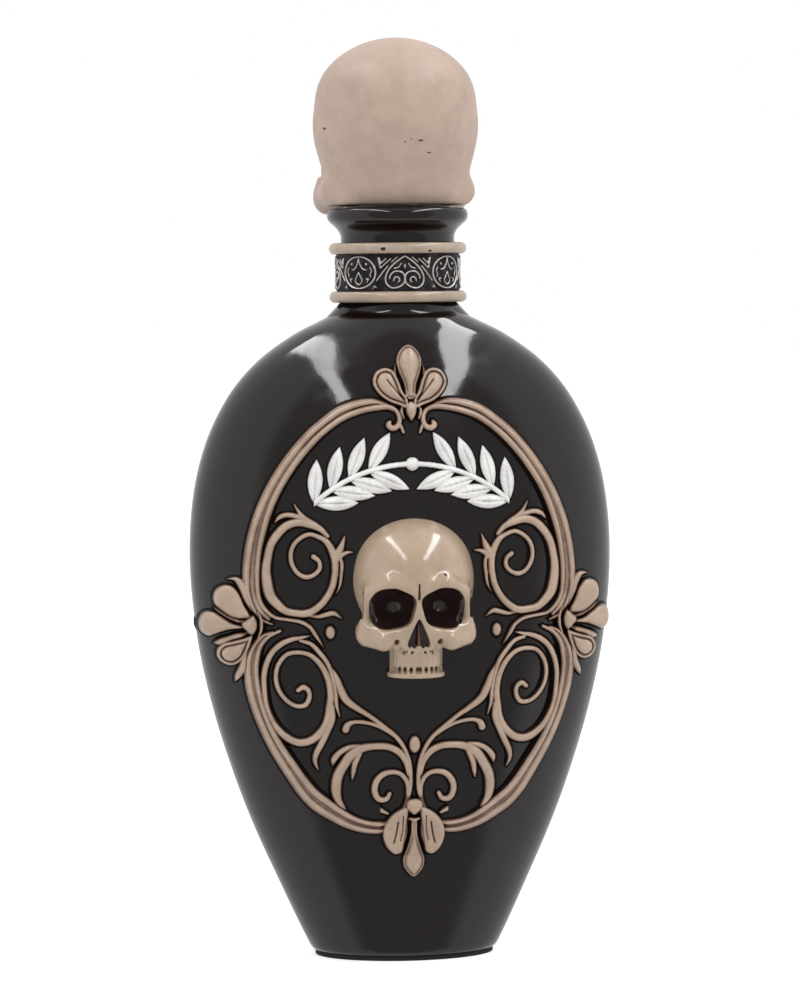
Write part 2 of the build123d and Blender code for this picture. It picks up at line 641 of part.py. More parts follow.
# A skull without its lower jaw, facing -Y. All its places are shares of the cranium's half width. Each
# ball has a place and a radius, and those off the middle plane stand on both sides.
cranium_ball_shares = [((0.0, -0.12, 0.0), 1.0), ((0.0, 0.2, 0.0), 0.98), ((0.0, 0.05, -0.42), 0.9)]
cheek_ball_shares = [
    ((0.3, -0.78, -0.16), 0.26), ((0.55, -0.7, -0.2), 0.26), ((0.62, -0.7, -0.85), 0.19),
    ((0.78, -0.54, -0.83), 0.17), ((0.82, 0.12, -0.85), 0.12),
]
socket_ball_shares = [((0.32, -0.98, -0.45), 0.27), ((0.48, -0.94, -0.48), 0.27)]
arch_place_share = (0.82, -0.2, -0.85)
arch_radius_share = 0.12
arch_length_share = 0.64
face_shares = [
    (-0.05, 0.92, 0.72, -0.26), (-0.45, 0.86, 0.68, -0.30), (-0.8, 0.8, 0.62, -0.36),
    (-1.0, 0.62, 0.52, -0.44), (-1.22, 0.5, 0.42, -0.52), (-1.54, 0.46, 0.36, -0.56),
]
nose_shares = [(0.0, -0.58), (-0.17, -1.0), (0.0, -1.05), (0.17, -1.0)]
nose_back_share = 0.8
tooth_count = 8
tooth_top_share = -1.24
tooth_gap_share = 0.035
tooth_gap_depth_share = 0.12


def on_skull(place_share, unit, side=1):
    """A place on the skull in millimetres, on one side of its middle plane."""
    return (side * place_share[0] * unit, place_share[1] * unit, place_share[2] * unit)


def skull_form(unit):
    """The whole skull, for one half width of the cranium."""
    with BuildPart() as skull:
        for place, radius in cranium_ball_shares:
            with Locations(on_skull(place, unit)):
                Sphere(radius * unit)
        for up, across, back, forward in face_shares:
            with BuildSketch(Plane.XY.offset(up * unit)):
                with Locations((0, forward * unit)):
                    Ellipse(across * unit, back * unit)
        loft()
        for side in (-1, 1):
            for place, radius in cheek_ball_shares:
                with Locations(on_skull(place, unit, side)):
                    Sphere(radius * unit)
            with Locations(Location(on_skull(arch_place_share, unit, side), (90, 0, 0))):
                Cylinder(arch_radius_share * unit, arch_length_share * unit)
        for side in (-1, 1):
            for place, radius in socket_ball_shares:
                with Locations(on_skull(place, unit, side)):
                    Sphere(radius * unit, mode=Mode.SUBTRACT)
        with BuildSketch(Plane.XZ.offset(nose_back_share * unit)):
            with BuildLine():
                Polyline(*[(across * unit, up * unit) for across, up in nose_shares], close=True)
            make_face()
        extrude(amount=unit, mode=Mode.SUBTRACT)
        tooth_row = face_shares[-1]
        tooth_height = (tooth_top_share - tooth_row[0]) * unit
        for gap in range(1, tooth_count):
            turn = 180 * gap / tooth_count
            across = -cos(radians(turn)) * tooth_row[1] * unit
            ahead = (tooth_row[3] - sin(radians(turn)) * tooth_row[2]) * unit
            with Locations(Location((across, ahead, tooth_row[0] * unit), (0, 0, turn - 90))):
                Box(
                    tooth_gap_share * unit, tooth_gap_depth_share * unit, tooth_height,
                    align=(Align.CENTER, Align.CENTER, Align.MIN), mode=Mode.SUBTRACT,
                )
    return skull.part


# Small glossy skull in the middle of the cartouche, sunk in the front to behind its face
medallion_unit = 11.9
medallion_height = 75.75
medallion_sink = 4.8

with BuildPart() as skull_medallion:
    with Locations((0, medallion_sink - front_depth(0, medallion_height), medallion_height)):
        add(skull_form(medallion_unit))
    add(plain_body, mode=Mode.SUBTRACT)
skull_medallion.part.label = "skull_medallion"


# Cork sleeve that slides in the neck, and the resin peg that turns in it and carries the skull
sleeve_fit = 0.04
peg_fit = 0.05
sleeve_length = 11.6
sleeve_wall = 2.6
flange_radius = 10.8
flange_height = 0.7
sleeve_gap = 0.15
foot_radius = 8.0
foot_height = 1.2
spigot_radius = 5.0
spigot_length = 9.0
sleeve_radius = bore_radius - sleeve_fit
sleeve_bore = sleeve_radius - sleeve_wall
sleeve_top = lip_top - sleeve_gap
sleeve_bottom = sleeve_top - sleeve_length
flange_top = lip_top + flange_height

with BuildPart() as cork_sleeve:
    with BuildSketch(Plane.XY.offset(sleeve_bottom)):
        Circle(sleeve_radius)
        Circle(sleeve_bore, mode=Mode.SUBTRACT)
    extrude(amount=sleeve_length)
cork_sleeve.part.label = "cork_sleeve"

with BuildPart() as stopper_peg:
    for radius, bottom, top in (
        (foot_radius, sleeve_bottom - sleeve_gap - foot_height, sleeve_bottom - sleeve_gap),
        (sleeve_bore - peg_fit, sleeve_bottom - sleeve_gap, lip_top),
        (flange_radius, lip_top, flange_top),
        (spigot_radius, flange_top, flange_top + spigot_length),
    ):
        with BuildSketch(Plane.XY.offset(bottom)):
            Circle(radius)
        extrude(amount=top - bottom)
stopper_peg.part.label = "stopper_peg"


# Large skull of the stopper. It faces away from the front, and its upper teeth hang clear of the lip.
stopper_unit = 16.4
stopper_crown_height = 180.3
stopper_forward = 2.2
skull_clearance = 0.4
stopper_height = stopper_crown_height - stopper_unit

with BuildPart() as stopper_skull:
    with Locations(Location((0, stopper_forward, stopper_height), (0, 0, 180))):
        add(skull_form(stopper_unit))
    with BuildSketch(Plane.XY.offset(upper_ring_bottom - overrun)):
        Circle(lip_radius + skull_clearance)
    extrude(amount=flange_top - upper_ring_bottom + overrun, mode=Mode.SUBTRACT)
    with BuildSketch(Plane.XY.offset(flange_top)):
        Circle(spigot_radius)
    extrude(amount=spigot_length, mode=Mode.SUBTRACT)
stopper_skull.part.label = "stopper_skull"


# Write every piece to its own file
for piece in (
    base_pad, bottle_body, lower_neck_ring, neck_band, upper_neck_ring, top_crest, bottom_crest, left_crest,
    right_crest, upper_left_frame, upper_right_frame, lower_left_frame, lower_right_frame,
    upper_left_scroll, upper_right_scroll, lower_left_scroll, lower_right_scroll, bottom_left_scroll,
    bottom_right_scroll, left_bead, right_bead, drop_bead, laurel_garland, skull_medallion, cork_sleeve,
    stopper_peg, stopper_skull,
):
    export_step(piece.part, "parts/" + piece.part.label + ".step")
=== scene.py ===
# Dressed model of the poison bottle: the same pieces as the CAD source, with finer forms and painted
# finishes. The scene is in metres, with Z up and the front facing -Y, and drawn sizes are millimetres.
from math import cos, pi, radians, sin

import bpy
import numpy as np
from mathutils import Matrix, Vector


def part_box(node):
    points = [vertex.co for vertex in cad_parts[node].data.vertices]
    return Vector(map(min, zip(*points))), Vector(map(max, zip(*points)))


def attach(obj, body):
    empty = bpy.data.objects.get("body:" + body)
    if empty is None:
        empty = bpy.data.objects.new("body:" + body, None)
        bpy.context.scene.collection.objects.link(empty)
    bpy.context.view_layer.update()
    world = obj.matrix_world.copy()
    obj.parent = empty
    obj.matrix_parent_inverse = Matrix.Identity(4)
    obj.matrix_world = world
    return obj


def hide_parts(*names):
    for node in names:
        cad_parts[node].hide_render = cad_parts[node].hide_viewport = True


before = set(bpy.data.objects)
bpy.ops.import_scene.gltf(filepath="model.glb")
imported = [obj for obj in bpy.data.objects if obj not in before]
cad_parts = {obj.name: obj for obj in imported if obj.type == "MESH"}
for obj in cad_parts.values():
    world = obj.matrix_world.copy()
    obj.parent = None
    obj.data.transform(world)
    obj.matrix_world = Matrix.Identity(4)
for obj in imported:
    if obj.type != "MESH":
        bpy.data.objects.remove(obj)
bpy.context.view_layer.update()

import openvdb
from mathutils import Quaternion, Vector

mm = 0.001
weld_gap = 0.002
line_steps = 6


# Bottle body
# The body is one hollow casting of dark resin: a flattened, egg-shaped flask on a small foot, with a
# round neck and a flared lip. It is sprayed near-black brown and finished with a high gloss.
body_bottom = 1.0
body_height = 128.0
body_half_width = 41.8
body_half_depth = 22.8
wall = 3.2
neck_radius = 11.2
bore_radius = 9.2
lip_bottom = 142.0
lip_top = 147.4
lip_radius = 13.9
cavity_floor = 7.0
cavity_top = 124.0
mouth_round = 0.4
foot_round = 0.5
body_sides = 224

# Shares of the body's height, half width and half depth, from the foot to the root of the neck
body_shares = [
    (0.000, 0.438, 0.548), (0.038, 0.496, 0.597), (0.111, 0.599, 0.684), (0.185, 0.700, 0.763),
    (0.260, 0.788, 0.838), (0.370, 0.893, 0.925), (0.481, 0.966, 0.978), (0.609, 1.000, 1.000),
    (0.712, 0.977, 0.969), (0.786, 0.919, 0.912), (0.841, 0.841, 0.846), (0.879, 0.763, 0.785),
    (0.916, 0.653, 0.706), (0.954, 0.486, 0.614), (0.973, 0.369, 0.553), (0.986, 0.297, 0.504),
]

# Shares of how far the lip stands out from the neck, and of its height
lip_shares = [
    (0.07, 0.11), (0.2, 0.22), (0.37, 0.32), (0.62, 0.43), (0.85, 0.54), (0.96, 0.63), (1.0, 0.73),
    (0.985, 0.84), (0.92, 0.93), (0.82, 0.98), (0.7, 1.0),
]


def smooth_through(points, steps, closed=False):
    """A soft line through the given rows of numbers, with a number of steps between two of them."""
    rows = [np.array(point, float) for point in points]
    if closed:
        rows = [rows[-1]] + rows + rows[:2]
    else:
        rows = [2 * rows[0] - rows[1]] + rows + [2 * rows[-1] - rows[-2]]
    line = []
    for before, start, end, after in zip(rows, rows[1:], rows[2:], rows[3:]):
        spans = ((before, start), (start, end), (end, after))
        gaps = [max(np.linalg.norm(last - first), 1e-6) ** 0.5 for first, last in spans]
        lead = (start - before) / gaps[0] - (end - before) / (gaps[0] + gaps[1]) + (end - start) / gaps[1]
        tail = (end - start) / gaps[1] - (after - start) / (gaps[1] + gaps[2]) + (after - end) / gaps[2]
        lead, tail = lead * gaps[1], tail * gaps[1]
        for step in range(steps):
            t = step / steps
            line.append(
                (2 * t ** 3 - 3 * t ** 2 + 1) * start + (t ** 3 - 2 * t ** 2 + t) * lead
                + (3 * t ** 2 - 2 * t ** 3) * end + (t ** 3 - t ** 2) * tail
            )
    if not closed:
        line.append(rows[-2])
    return np.array(line)


body_line = smooth_through(
    [
        (body_bottom + up * body_height, across * body_half_width, back * body_half_depth)
        for up, across, back in body_shares
    ] + [(body_bottom + body_height, neck_radius, neck_radius)],
    line_steps,
)


def body_front(across, height, grow):
    """How far the body's front, grown by an amount, lies before the middle plane."""
    half_width = np.interp(height, body_line[:, 0], body_line[:, 1]) + grow
    half_depth = np.interp(height, body_line[:, 0], body_line[:, 2]) + grow
    return half_depth * np.sqrt(np.clip(1 - (across / half_width) ** 2, 0.0, 1.0))


def clear_selection():
    """Nothing is selected, so that the next operator acts on the new piece alone."""
    bpy.ops.object.select_all(action="DESELECT")


def select_alone(piece):
    clear_selection()
    piece.select_set(True)
    bpy.context.view_layer.objects.active = piece


def finish_edit():
    """Turns every face outwards and leaves edit mode."""
    bpy.ops.mesh.select_all(action="SELECT")
    bpy.ops.mesh.normals_make_consistent(inside=False)
    bpy.ops.object.mode_set(mode="OBJECT")


def mesh_points(piece):
    return np.array([vertex.co for vertex in piece.data.vertices])


def turned(name, rings, sides, shut):
    """A piece drawn out ring by ring. Each ring holds a height, a half width and a half depth."""
    clear_selection()
    height, half_width, half_depth = rings[0]
    fill = "NGON" if shut else "NOTHING"
    bpy.ops.mesh.primitive_circle_add(vertices=sides, radius=mm, fill_type=fill, location=(0, 0, height * mm))
    piece = bpy.context.object
    piece.name = name
    bpy.ops.object.transform_apply(location=True, rotation=False, scale=False)
    bpy.ops.object.mode_set(mode="EDIT")
    bpy.ops.mesh.select_all(action="SELECT")
    centre = (0, 0, height * mm)
    bpy.ops.transform.resize(value=(half_width, half_depth, 1), center_override=centre)
    for ring in rings[1:]:
        rise = (0, 0, (ring[0] - height) * mm)
        if shut:
            bpy.ops.mesh.extrude_region_move(TRANSFORM_OT_translate={"value": rise})
        else:
            bpy.ops.mesh.extrude_edges_move(TRANSFORM_OT_translate={"value": rise})
        factors = (ring[1] / half_width, ring[2] / half_depth, 1)
        bpy.ops.transform.resize(value=factors, center_override=(0, 0, ring[0] * mm))
        height, half_width, half_depth = ring
    bpy.ops.mesh.select_all(action="SELECT")
    bpy.ops.mesh.remove_doubles(threshold=weld_gap * mm)
    finish_edit()
    return piece


def soften(piece, width, limit=40):
    """Rounds the sharp edges of a piece, if a width is given, then shades it smooth."""
    select_alone(piece)
    if width:
        bevel = piece.modifiers.new("Rounded edges", "BEVEL")
        bevel.width = width * mm
        bevel.segments = 3
        bevel.limit_method = "ANGLE"
        bevel.angle_limit = radians(limit)
        bpy.ops.object.modifier_apply(modifier=bevel.name)
    bpy.ops.object.shade_smooth_by_angle(angle=radians(limit))
    return piece


class Value:
    """A node's socket, so that shader maths can be written as plain sums and products."""

    def __init__(self, tree, socket):
        self.tree = tree
        self.socket = socket

    def maths(self, operation, *values):
        return self.tree.node("ShaderNodeMath", {"operation": operation}, dict(enumerate(values)))

    def __add__(self, other):
        return self.maths("ADD", self, other)

    def __radd__(self, other):
        return self.maths("ADD", other, self)

    def __sub__(self, other):
        return self.maths("SUBTRACT", self, other)

    def __rsub__(self, other):
        return self.maths("SUBTRACT", other, self)

    def __mul__(self, other):
        return self.maths("MULTIPLY", self, other)

    def __rmul__(self, other):
        return self.maths("MULTIPLY", other, self)


class Tree:
    """The nodes and links of a material or of the room."""

    def __init__(self, tree):
        self.nodes = tree.nodes
        self.links = tree.links

    def node(self, kind, settings, sockets, output=0):
        """A new node: its settings are set first, then its sockets take values or links."""
        new = self.nodes.new(kind)
        for setting, value in settings.items():
            setattr(new, setting, value)
        for socket, value in sockets.items():
            if isinstance(value, Value):
                self.links.new(value.socket, new.inputs[socket])
            else:
                new.inputs[socket].default_value = value
        return Value(self, new.outputs[output])

    def blend(self, share, first, second):
        """The first shader where the share is 0, the second where it is 1."""
        return self.node("ShaderNodeMixShader", {}, {0: share, 1: first, 2: second})


class Look(Tree):
    """One finish: a material whose shader has the given constants."""

    def __init__(self, name, constants):
        self.material = bpy.data.materials.new(name)
        self.material.use_nodes = True
        super().__init__(self.material.node_tree)
        self.shader = self.nodes["Principled BSDF"]
        for socket, value in constants.items():
            self.shader.inputs[socket].default_value = value
        self.place = self.node("ShaderNodeTexCoord", {}, {}, "Object")

    def noise(self, scale, detail=3.0, roughness=0.55, stretch=(1, 1, 1)):
        """A cloudy pattern of about 0 to 1, with so many lumps to a metre."""
        place = self.node("ShaderNodeMapping", {}, {"Vector": self.place, "Scale": stretch})
        sockets = {"Vector": place, "Scale": scale, "Detail": detail, "Roughness": roughness}
        return self.node("ShaderNodeTexNoise", {}, sockets)

    def between(self, value, low, high):
        """0 below the low value and 1 above the high one, with a soft step between."""
        settings = {"interpolation_type": "SMOOTHSTEP", "clamp": True}
        return self.node("ShaderNodeMapRange", settings, {"Value": value, "From Min": low, "From Max": high})

    def away(self, middle, reach):
        """How far a place is from a middle, as a share of a reach. Both are given in millimetres."""
        value = self.place
        for operation, sizes in (("SUBTRACT", middle), ("DIVIDE", reach)):
            sizes = tuple(size * mm for size in sizes)
            value = self.node("ShaderNodeVectorMath", {"operation": operation}, {0: value, 1: sizes})
        return self.node("ShaderNodeVectorMath", {"operation": "LENGTH"}, {0: value}, "Value")

    def mixed(self, share, first, second):
        """The first colour where the share is 0, the second where it is 1."""
        return self.node("ShaderNodeMix", {"data_type": "RGBA"}, {0: share, 6: first, 7: second}, 2)

    def painted(self, name):
        """A number that the piece's own mesh carries at each point."""
        return self.node("ShaderNodeAttribute", {"attribute_name": name}, {}, "Fac")

    def bump(self, height, distance):
        """Lumps of a height in millimetres, given to the shader."""
        sockets = {"Height": height, "Distance": distance * mm, "Strength": 1.0}
        self.give("Normal", self.node("ShaderNodeBump", {}, sockets))

    def give(self, socket, value):
        self.links.new(value.socket, self.shader.inputs[socket])

    def painted_shader(self):
        return Value(self, self.shader.outputs[0])

    def surface(self, value):
        self.links.new(value.socket, self.nodes["Material Output"].inputs["Surface"])


def dress(piece, look, slot, body, *nodes):
    """Paints a piece, puts it in the place of its CAD nodes and lets it move with its body."""
    piece.data.materials.clear()
    piece.data.materials.append(look.material)
    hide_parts(*nodes)
    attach(piece, body)


resin = Look("dark gloss resin", {"Roughness": 0.1, "IOR": 1.52, "Coat Weight": 0.0})
resin_cloud = resin.noise(45, 2.0)
resin.give("Base Color", resin.mixed(resin_cloud, (0.0035, 0.002, 0.0018, 1), (0.009, 0.0045, 0.004, 1)))
resin.give("Roughness", 0.07 + 0.1 * resin.between(resin.noise(160, 4.0), 0.45, 0.8))
# The ground round the garland is tooled by hand, so it ripples far more than the rest of the body.
tooled = 1 - resin.between(resin.away((0, -18, 96.5), (24, 20, 12.5)), 0.6, 1.05)
tooled_ripple = tooled * 1.1 * resin.noise(330, 2.0, 0.5, (1, 1, 0.45))
resin.bump(resin.noise(55, 2.0) + 0.04 * resin.noise(900, 2.0) + tooled_ripple, 0.12)

# The outline runs up the outside, over the lip and down the inside of the wall, to the cavity's floor
outer = []
for rise, inset in ((0, foot_round), (foot_round * 0.3, foot_round * 0.3)):
    outer.append((body_line[0][0] + rise, body_line[0][1] - inset, body_line[0][2] - inset))
outer += [tuple(ring) for ring in body_line if ring[0] > body_bottom + foot_round]
neck_rise = np.linspace(body_line[-1][0], lip_bottom, 8)[1:]
outer += [(height, neck_radius, neck_radius) for height in neck_rise]
for out, up in lip_shares:
    radius = neck_radius + out * (lip_radius - neck_radius)
    outer.append((lip_bottom + up * (lip_top - lip_bottom), radius, radius))
outer.append((lip_top, bore_radius + mouth_round, bore_radius + mouth_round))
outer += [(lip_top - drop, bore_radius, bore_radius) for drop in (mouth_round, 4.0, 8.0, 12.0, 16.0)]
for ring in body_line[::-2]:
    if cavity_floor < ring[0] < cavity_top and ring[1] - wall > bore_radius:
        outer.append((ring[0], ring[1] - wall, ring[2] - wall))
floor_half_sizes = [
    float(np.interp(cavity_floor, body_line[:, 0], half_sizes)) - wall for half_sizes in body_line[:, 1:].T
]
outer.append((cavity_floor, *floor_half_sizes))
body = soften(turned("bottle_body_dressed", outer, body_sides, True), 0)
dress(body, resin, "dark_resin", "bottle", "bottle_body")


# Base pad
# A thin black felt pad is glued under the foot, a little smaller than it, so that the bottle doesn't
# scratch a shelf.
pad_inset = 0.6
pad_round = 0.15
pad_sides = 128
pad_look = Look("black felt", {"Roughness": 0.95})
pad_cloud = pad_look.noise(1500, 4.0)
pad_look.give("Base Color", pad_look.mixed(pad_cloud, (0.008, 0.008, 0.009, 1), (0.03, 0.029, 0.03, 1)))
pad_look.bump(pad_cloud, 0.15)
pad_width = body_shares[0][1] * body_half_width - pad_inset
pad_depth = body_shares[0][2] * body_half_depth - pad_inset
pad_rings = [(height, pad_width, pad_depth) for height in (0, body_bottom)]
pad = turned("base_pad_dressed", pad_rings, pad_sides, True)
dress(soften(pad, pad_round), pad_look, "pad_felt", "bottle", "base_pad")


# Neck rings
# Two rings with rounded rims frame the band. They are painted the colour of old bone, and a brown wash
# with painted shade lies where they meet the neck and the band.
ring_height = 2.2
ring_radius = 13.55
ring_bottoms = (129.0, 138.5)
rim_round = 0.45 * ring_height
rim_steps = 12
ring_sides = 160


def chipped(look, chips, ragged):
    """1 where the paint is chipped away. Each chip has a middle and a reach, in millimetres."""
    mask = 0
    for middle, reach in chips:
        mask = mask + (1 - look.between(look.away(middle, reach) + 1.6 * (ragged - 0.5), 0.75, 1.0))
    return mask


def old_bone(name, light, brown, dark, constants, edge, chips=()):
    """Bone-coloured paint over dark resin, with a wash and painted shade that are brown in the hollows and
    black at the foot.

    The edge says at what levels of the wash and painted shade the paint turns brown, then dark, and where
    that ends.
    """
    look = Look(name, constants)
    wash = look.painted("wash")
    cloud = look.noise(230, 5.0, 0.65)
    fine = look.noise(1400, 3.0)
    # The wash level is partly a brown wash and partly painted shade from the relief's form, roughened by
    # noise
    wash_and_shade_level = wash + 0.22 * (cloud - 0.5) + 0.16 * (fine - 0.5)
    shade = tuple(0.8 * part for part in light[:3]) + (1,)
    paint = look.mixed(look.between(cloud, 0.35, 0.7), light, shade)
    if chips:
        paint = look.mixed(chipped(look, chips, fine), paint, dark)
    brown_wash_and_shade = look.mixed(look.between(wash_and_shade_level, edge[0], edge[1]), paint, brown)
    washed_and_shaded = look.between(wash_and_shade_level, edge[1], edge[2])
    look.give("Base Color", look.mixed(washed_and_shaded, brown_wash_and_shade, dark))
    look.bump(cloud * 0.6 + fine * 0.25, 0.1)
    # Where the wash and painted shade lie, the surface is dark and dull, so it mirrors far less than the bare
    # paint does
    sockets = {"Base Color": dark, "Roughness": 0.6, "Specular IOR Level": 0.12}
    dull = look.node("ShaderNodeBsdfPrincipled", {}, sockets)
    look.surface(look.blend(washed_and_shaded, look.painted_shader(), dull))
    return look


def paint_values(piece, name, values):
    """Keeps a number at each point of a piece's mesh, for its material."""
    layer = piece.data.attributes.new(name, "FLOAT", "POINT")
    layer.data.foreach_set("value", np.asarray(values, np.float32).ravel())


ring_look = old_bone(
    "ring bone paint", (0.42, 0.325, 0.25, 1), (0.16, 0.10, 0.07, 1), (0.02, 0.012, 0.009, 1),
    {"Roughness": 0.25}, (0.3, 0.6, 0.9),
    [((-4.3, -13.0, 139.4), (0.55, 3.0, 0.4)), ((4.9, -13.0, 139.0), (0.4, 3.0, 0.25))],
)
for name, bottom in zip(("lower_neck_ring", "upper_neck_ring"), ring_bottoms):
    section = [(bottom, neck_radius, neck_radius)]
    for step in range(rim_steps + 1):
        turn = pi * (step / rim_steps - 0.5)
        radius = ring_radius - rim_round + rim_round * cos(turn)
        section.append((bottom + ring_height * (0.5 + 0.5 * sin(turn)), radius, radius))
    section += [(bottom + ring_height, neck_radius, neck_radius), (bottom, neck_radius, neck_radius)]
    ring = soften(turned(name + "_dressed", section, ring_sides, False), 0)
    points = mesh_points(ring) / mm
    depth = ring_radius - np.hypot(points[:, 0], points[:, 1])
    # The wash grows in from the rim: painted shade where each ring meets the neck and the band
    paint_values(ring, "wash", np.clip(depth - 0.15, 0, 1))
    dress(ring, ring_look, "ring_bone", "bottle", name)


# Neck band
# A cast pewter band runs round the neck between the rings. Hearts with their tips up and wide medals are
# drawn on it in raised lines by turns, under a row of chevrons. Its ground is blackened, its lines rubbed.
band_bottom = 131.2
band_height = 7.3
band_radius = 12.1
band_relief = 0.4
motif_count = 8
band_columns = 944
band_rows = 78
band_weld_gap = 0.01


def soft_ridge(distance, half_width):
    """A rounded ridge of height 1 along a line, from the distance to the line."""
    return np.sqrt(np.clip(1 - (distance / half_width) ** 2, 0, 1))


def line_distance(across, up, start, end):
    """The distance of each point from a straight piece between two ends."""
    along = np.array(end, float) - np.array(start, float)
    share = ((across - start[0]) * along[0] + (up - start[1]) * along[1]) / (along @ along)
    share = np.clip(share, 0, 1)
    return np.hypot(across - start[0] - share * along[0], up - start[1] - share * along[1])


def path_distance(across, up, points):
    """The distance of each point from a bent line."""
    return np.min([line_distance(across, up, *ends) for ends in zip(points, points[1:])], axis=0)


# Raised lines in millimetres from the middle of a heart, and from the middle of a medal, with their half
# widths. Each is drawn on both sides of its middle.
heart_lines = [
    (0.19, [
        (0, 3.2), (1.0, 2.55), (2.0, 1.75), (3.15, 0.47), (3.75, -1.0), (3.5, -2.3), (2.4, -3.05),
        (1.05, -2.8), (0.15, -2.0), (0.0, -0.75),
    ]),
    (0.17, [(0.0, -0.75), (0.45, -0.1), (1.1, 0.2), (2.1, 0.15), (2.85, -0.6), (2.95, -1.2)]),
    (0.15, [(2.2, -1.7), (2.1, -1.2), (1.7, -0.85), (1.2, -1.05), (1.0, -1.6), (1.35, -1.9)]),
    (0.14, [(0.7, 1.75), (1.2, 1.0), (2.1, 0.75)]),
    (0.16, [(3.3, 1.25), (4.4, -0.1), (5.55, -1.6)]),
    (0.15, [(2.7, 2.7), (4.75, 0.85), (5.2, 2.9)]),
    (0.15, [(3.6, 2.75), (4.65, 1.75), (4.9, 2.8)]),
    (0.13, [(1.4, 3.0), (2.6, 2.0)]),
]
medal_lines = [
    (0.15, [(0, 2.75), (0.2, 1.95), (0.75, 0.95), (1.25, 0.6), (1.75, 0.55)]),
    (0.14, [(0, 0.05), (0.45, -0.75), (0.85, -1.55), (0.5, -2.1), (0, -2.4)]),
    (0.13, [(2.55, 1.0), (2.95, 0.3), (2.6, -0.4), (2.75, -0.9)]),
    (0.13, [(1.7, -1.2), (2.3, -1.25), (1.9, -1.9)]),
    (0.12, [(3.2, -3.2), (3.5, -2.6), (3.9, -3.0)]),
]
medal_half_width = 3.75
medal_half_height = 3.1


def lines_relief(across, up, lines):
    """Raised lines on both sides of a motif's middle."""
    height = np.zeros(across.shape)
    for half_width, points in lines:
        reach = path_distance(np.abs(across), up, smooth_through(points, 3) if len(points) > 3 else points)
        height = np.maximum(height, soft_ridge(reach, half_width))
    return height


def heart_relief(across, up):
    """A heart with a curl in each lobe, a kite at its tip, and the chevrons beside it."""
    height = lines_relief(across, up, heart_lines)
    kite = np.abs(across) / 0.34 + np.abs(up - 1.2) / 0.85
    return np.maximum(height, 0.8 * np.clip(1.25 - kite, 0, 1))


def medal_relief(across, up):
    """A wide oval frame round a wing, a drop and two dots."""
    oval = np.abs(np.hypot(across / medal_half_width, up / medal_half_height) - 1) * 3.3
    height = np.maximum(soft_ridge(oval, 0.19), lines_relief(across, up, medal_lines))
    dot = np.hypot(np.abs(across) - 1.75, up - 1.65)
    return np.maximum(height, soft_ridge(dot, 0.3))


def blurred(grid, reach, wrap=False):
    """A field of numbers, softened along every axis over a number of cells."""
    offsets = np.arange(-2 * reach, 2 * reach + 1)
    weights = np.exp(-0.5 * (offsets / reach) ** 2)
    weights = weights / weights.sum()
    for axis in range(grid.ndim):
        room = [(0, 0)] * grid.ndim
        room[axis] = (2 * reach, 2 * reach)
        padded = np.pad(grid, room, mode="wrap" if wrap and axis == 1 else "edge")
        total = np.zeros_like(grid)
        for offset, weight in zip(offsets, weights):
            start = offset + 2 * reach
            window = [slice(None)] * grid.ndim
            window[axis] = slice(start, start + grid.shape[axis])
            total = total + weight * padded[tuple(window)]
        grid = total
    return grid


clear_selection()
bpy.ops.mesh.primitive_grid_add(x_subdivisions=band_columns, y_subdivisions=band_rows, size=2)
band = bpy.context.object
band.name = "neck_band_dressed"
flat = mesh_points(band)
turns = flat[:, 0] * pi
ups = flat[:, 1] * band_height / 2
middle_height = band_bottom + band_height / 2
motif_turn = 2 * pi / motif_count
nearest = np.round(turns / motif_turn)
beside = (turns - nearest * motif_turn) * band_radius
on_heart = nearest % 2 == 0
beside_heart = np.where(on_heart, np.abs(beside), motif_turn * band_radius - np.abs(beside))
heights = np.where(on_heart, 0.0, medal_relief(beside, ups))
heights = np.maximum(heights, heart_relief(beside_heart, ups))
shape = (len(np.unique(flat[:, 1])), len(np.unique(flat[:, 0])))
relief_grid = heights.reshape(shape)
round_grid = blurred(relief_grid, 1, True)
rubbed = np.clip(round_grid * 1.7 - 0.35, 0, 1)
radii = (band_radius + band_relief * round_grid.ravel()) * mm
co = np.stack([radii * np.sin(turns), -radii * np.cos(turns), (middle_height + ups) * mm], axis=1)
band.data.vertices.foreach_set("co", co.ravel())
paint_values(band, "wash", 1 - rubbed)
paint_values(band, "rubbed", rubbed)
bpy.ops.object.mode_set(mode="EDIT")
bpy.ops.mesh.select_all(action="SELECT")
bpy.ops.mesh.remove_doubles(threshold=band_weld_gap * mm)
bpy.ops.mesh.select_all(action="DESELECT")
bpy.ops.mesh.select_non_manifold(extend=False)
bpy.ops.mesh.extrude_edges_move(TRANSFORM_OT_translate={"value": (0, 0, 0)})
inward = (neck_radius / (band_radius + band_relief * 0.6),) * 2 + (1,)
bpy.ops.transform.resize(value=inward, center_override=(0, 0, middle_height * mm))
bpy.ops.mesh.bridge_edge_loops()
finish_edit()
soften(band, 0, limit=60)

pewter = Look("aged pewter", {"Metallic": 0.6, "Roughness": 0.4})
pewter_cloud = pewter.noise(420, 4.0)
pewter_dark = pewter.between(pewter.painted("wash") + 0.5 * (pewter_cloud - 0.5), 0.3, 0.8)
pewter_ground = pewter.mixed(
    pewter.between(pewter_cloud, 0.4, 0.7), (0.012, 0.010, 0.010, 1), (0.05, 0.046, 0.045, 1)
)
pewter_line = pewter.mixed(pewter.painted("rubbed"), (0.16, 0.15, 0.145, 1), (0.62, 0.59, 0.57, 1))
pewter.give("Base Color", pewter.mixed(pewter_dark, pewter_line, pewter_ground))
pewter.give("Roughness", 0.36 + 0.25 * pewter_dark)
pewter.bump(pewter_cloud, 0.08)
dress(band, pewter, "pewter", "bottle", "neck_band")
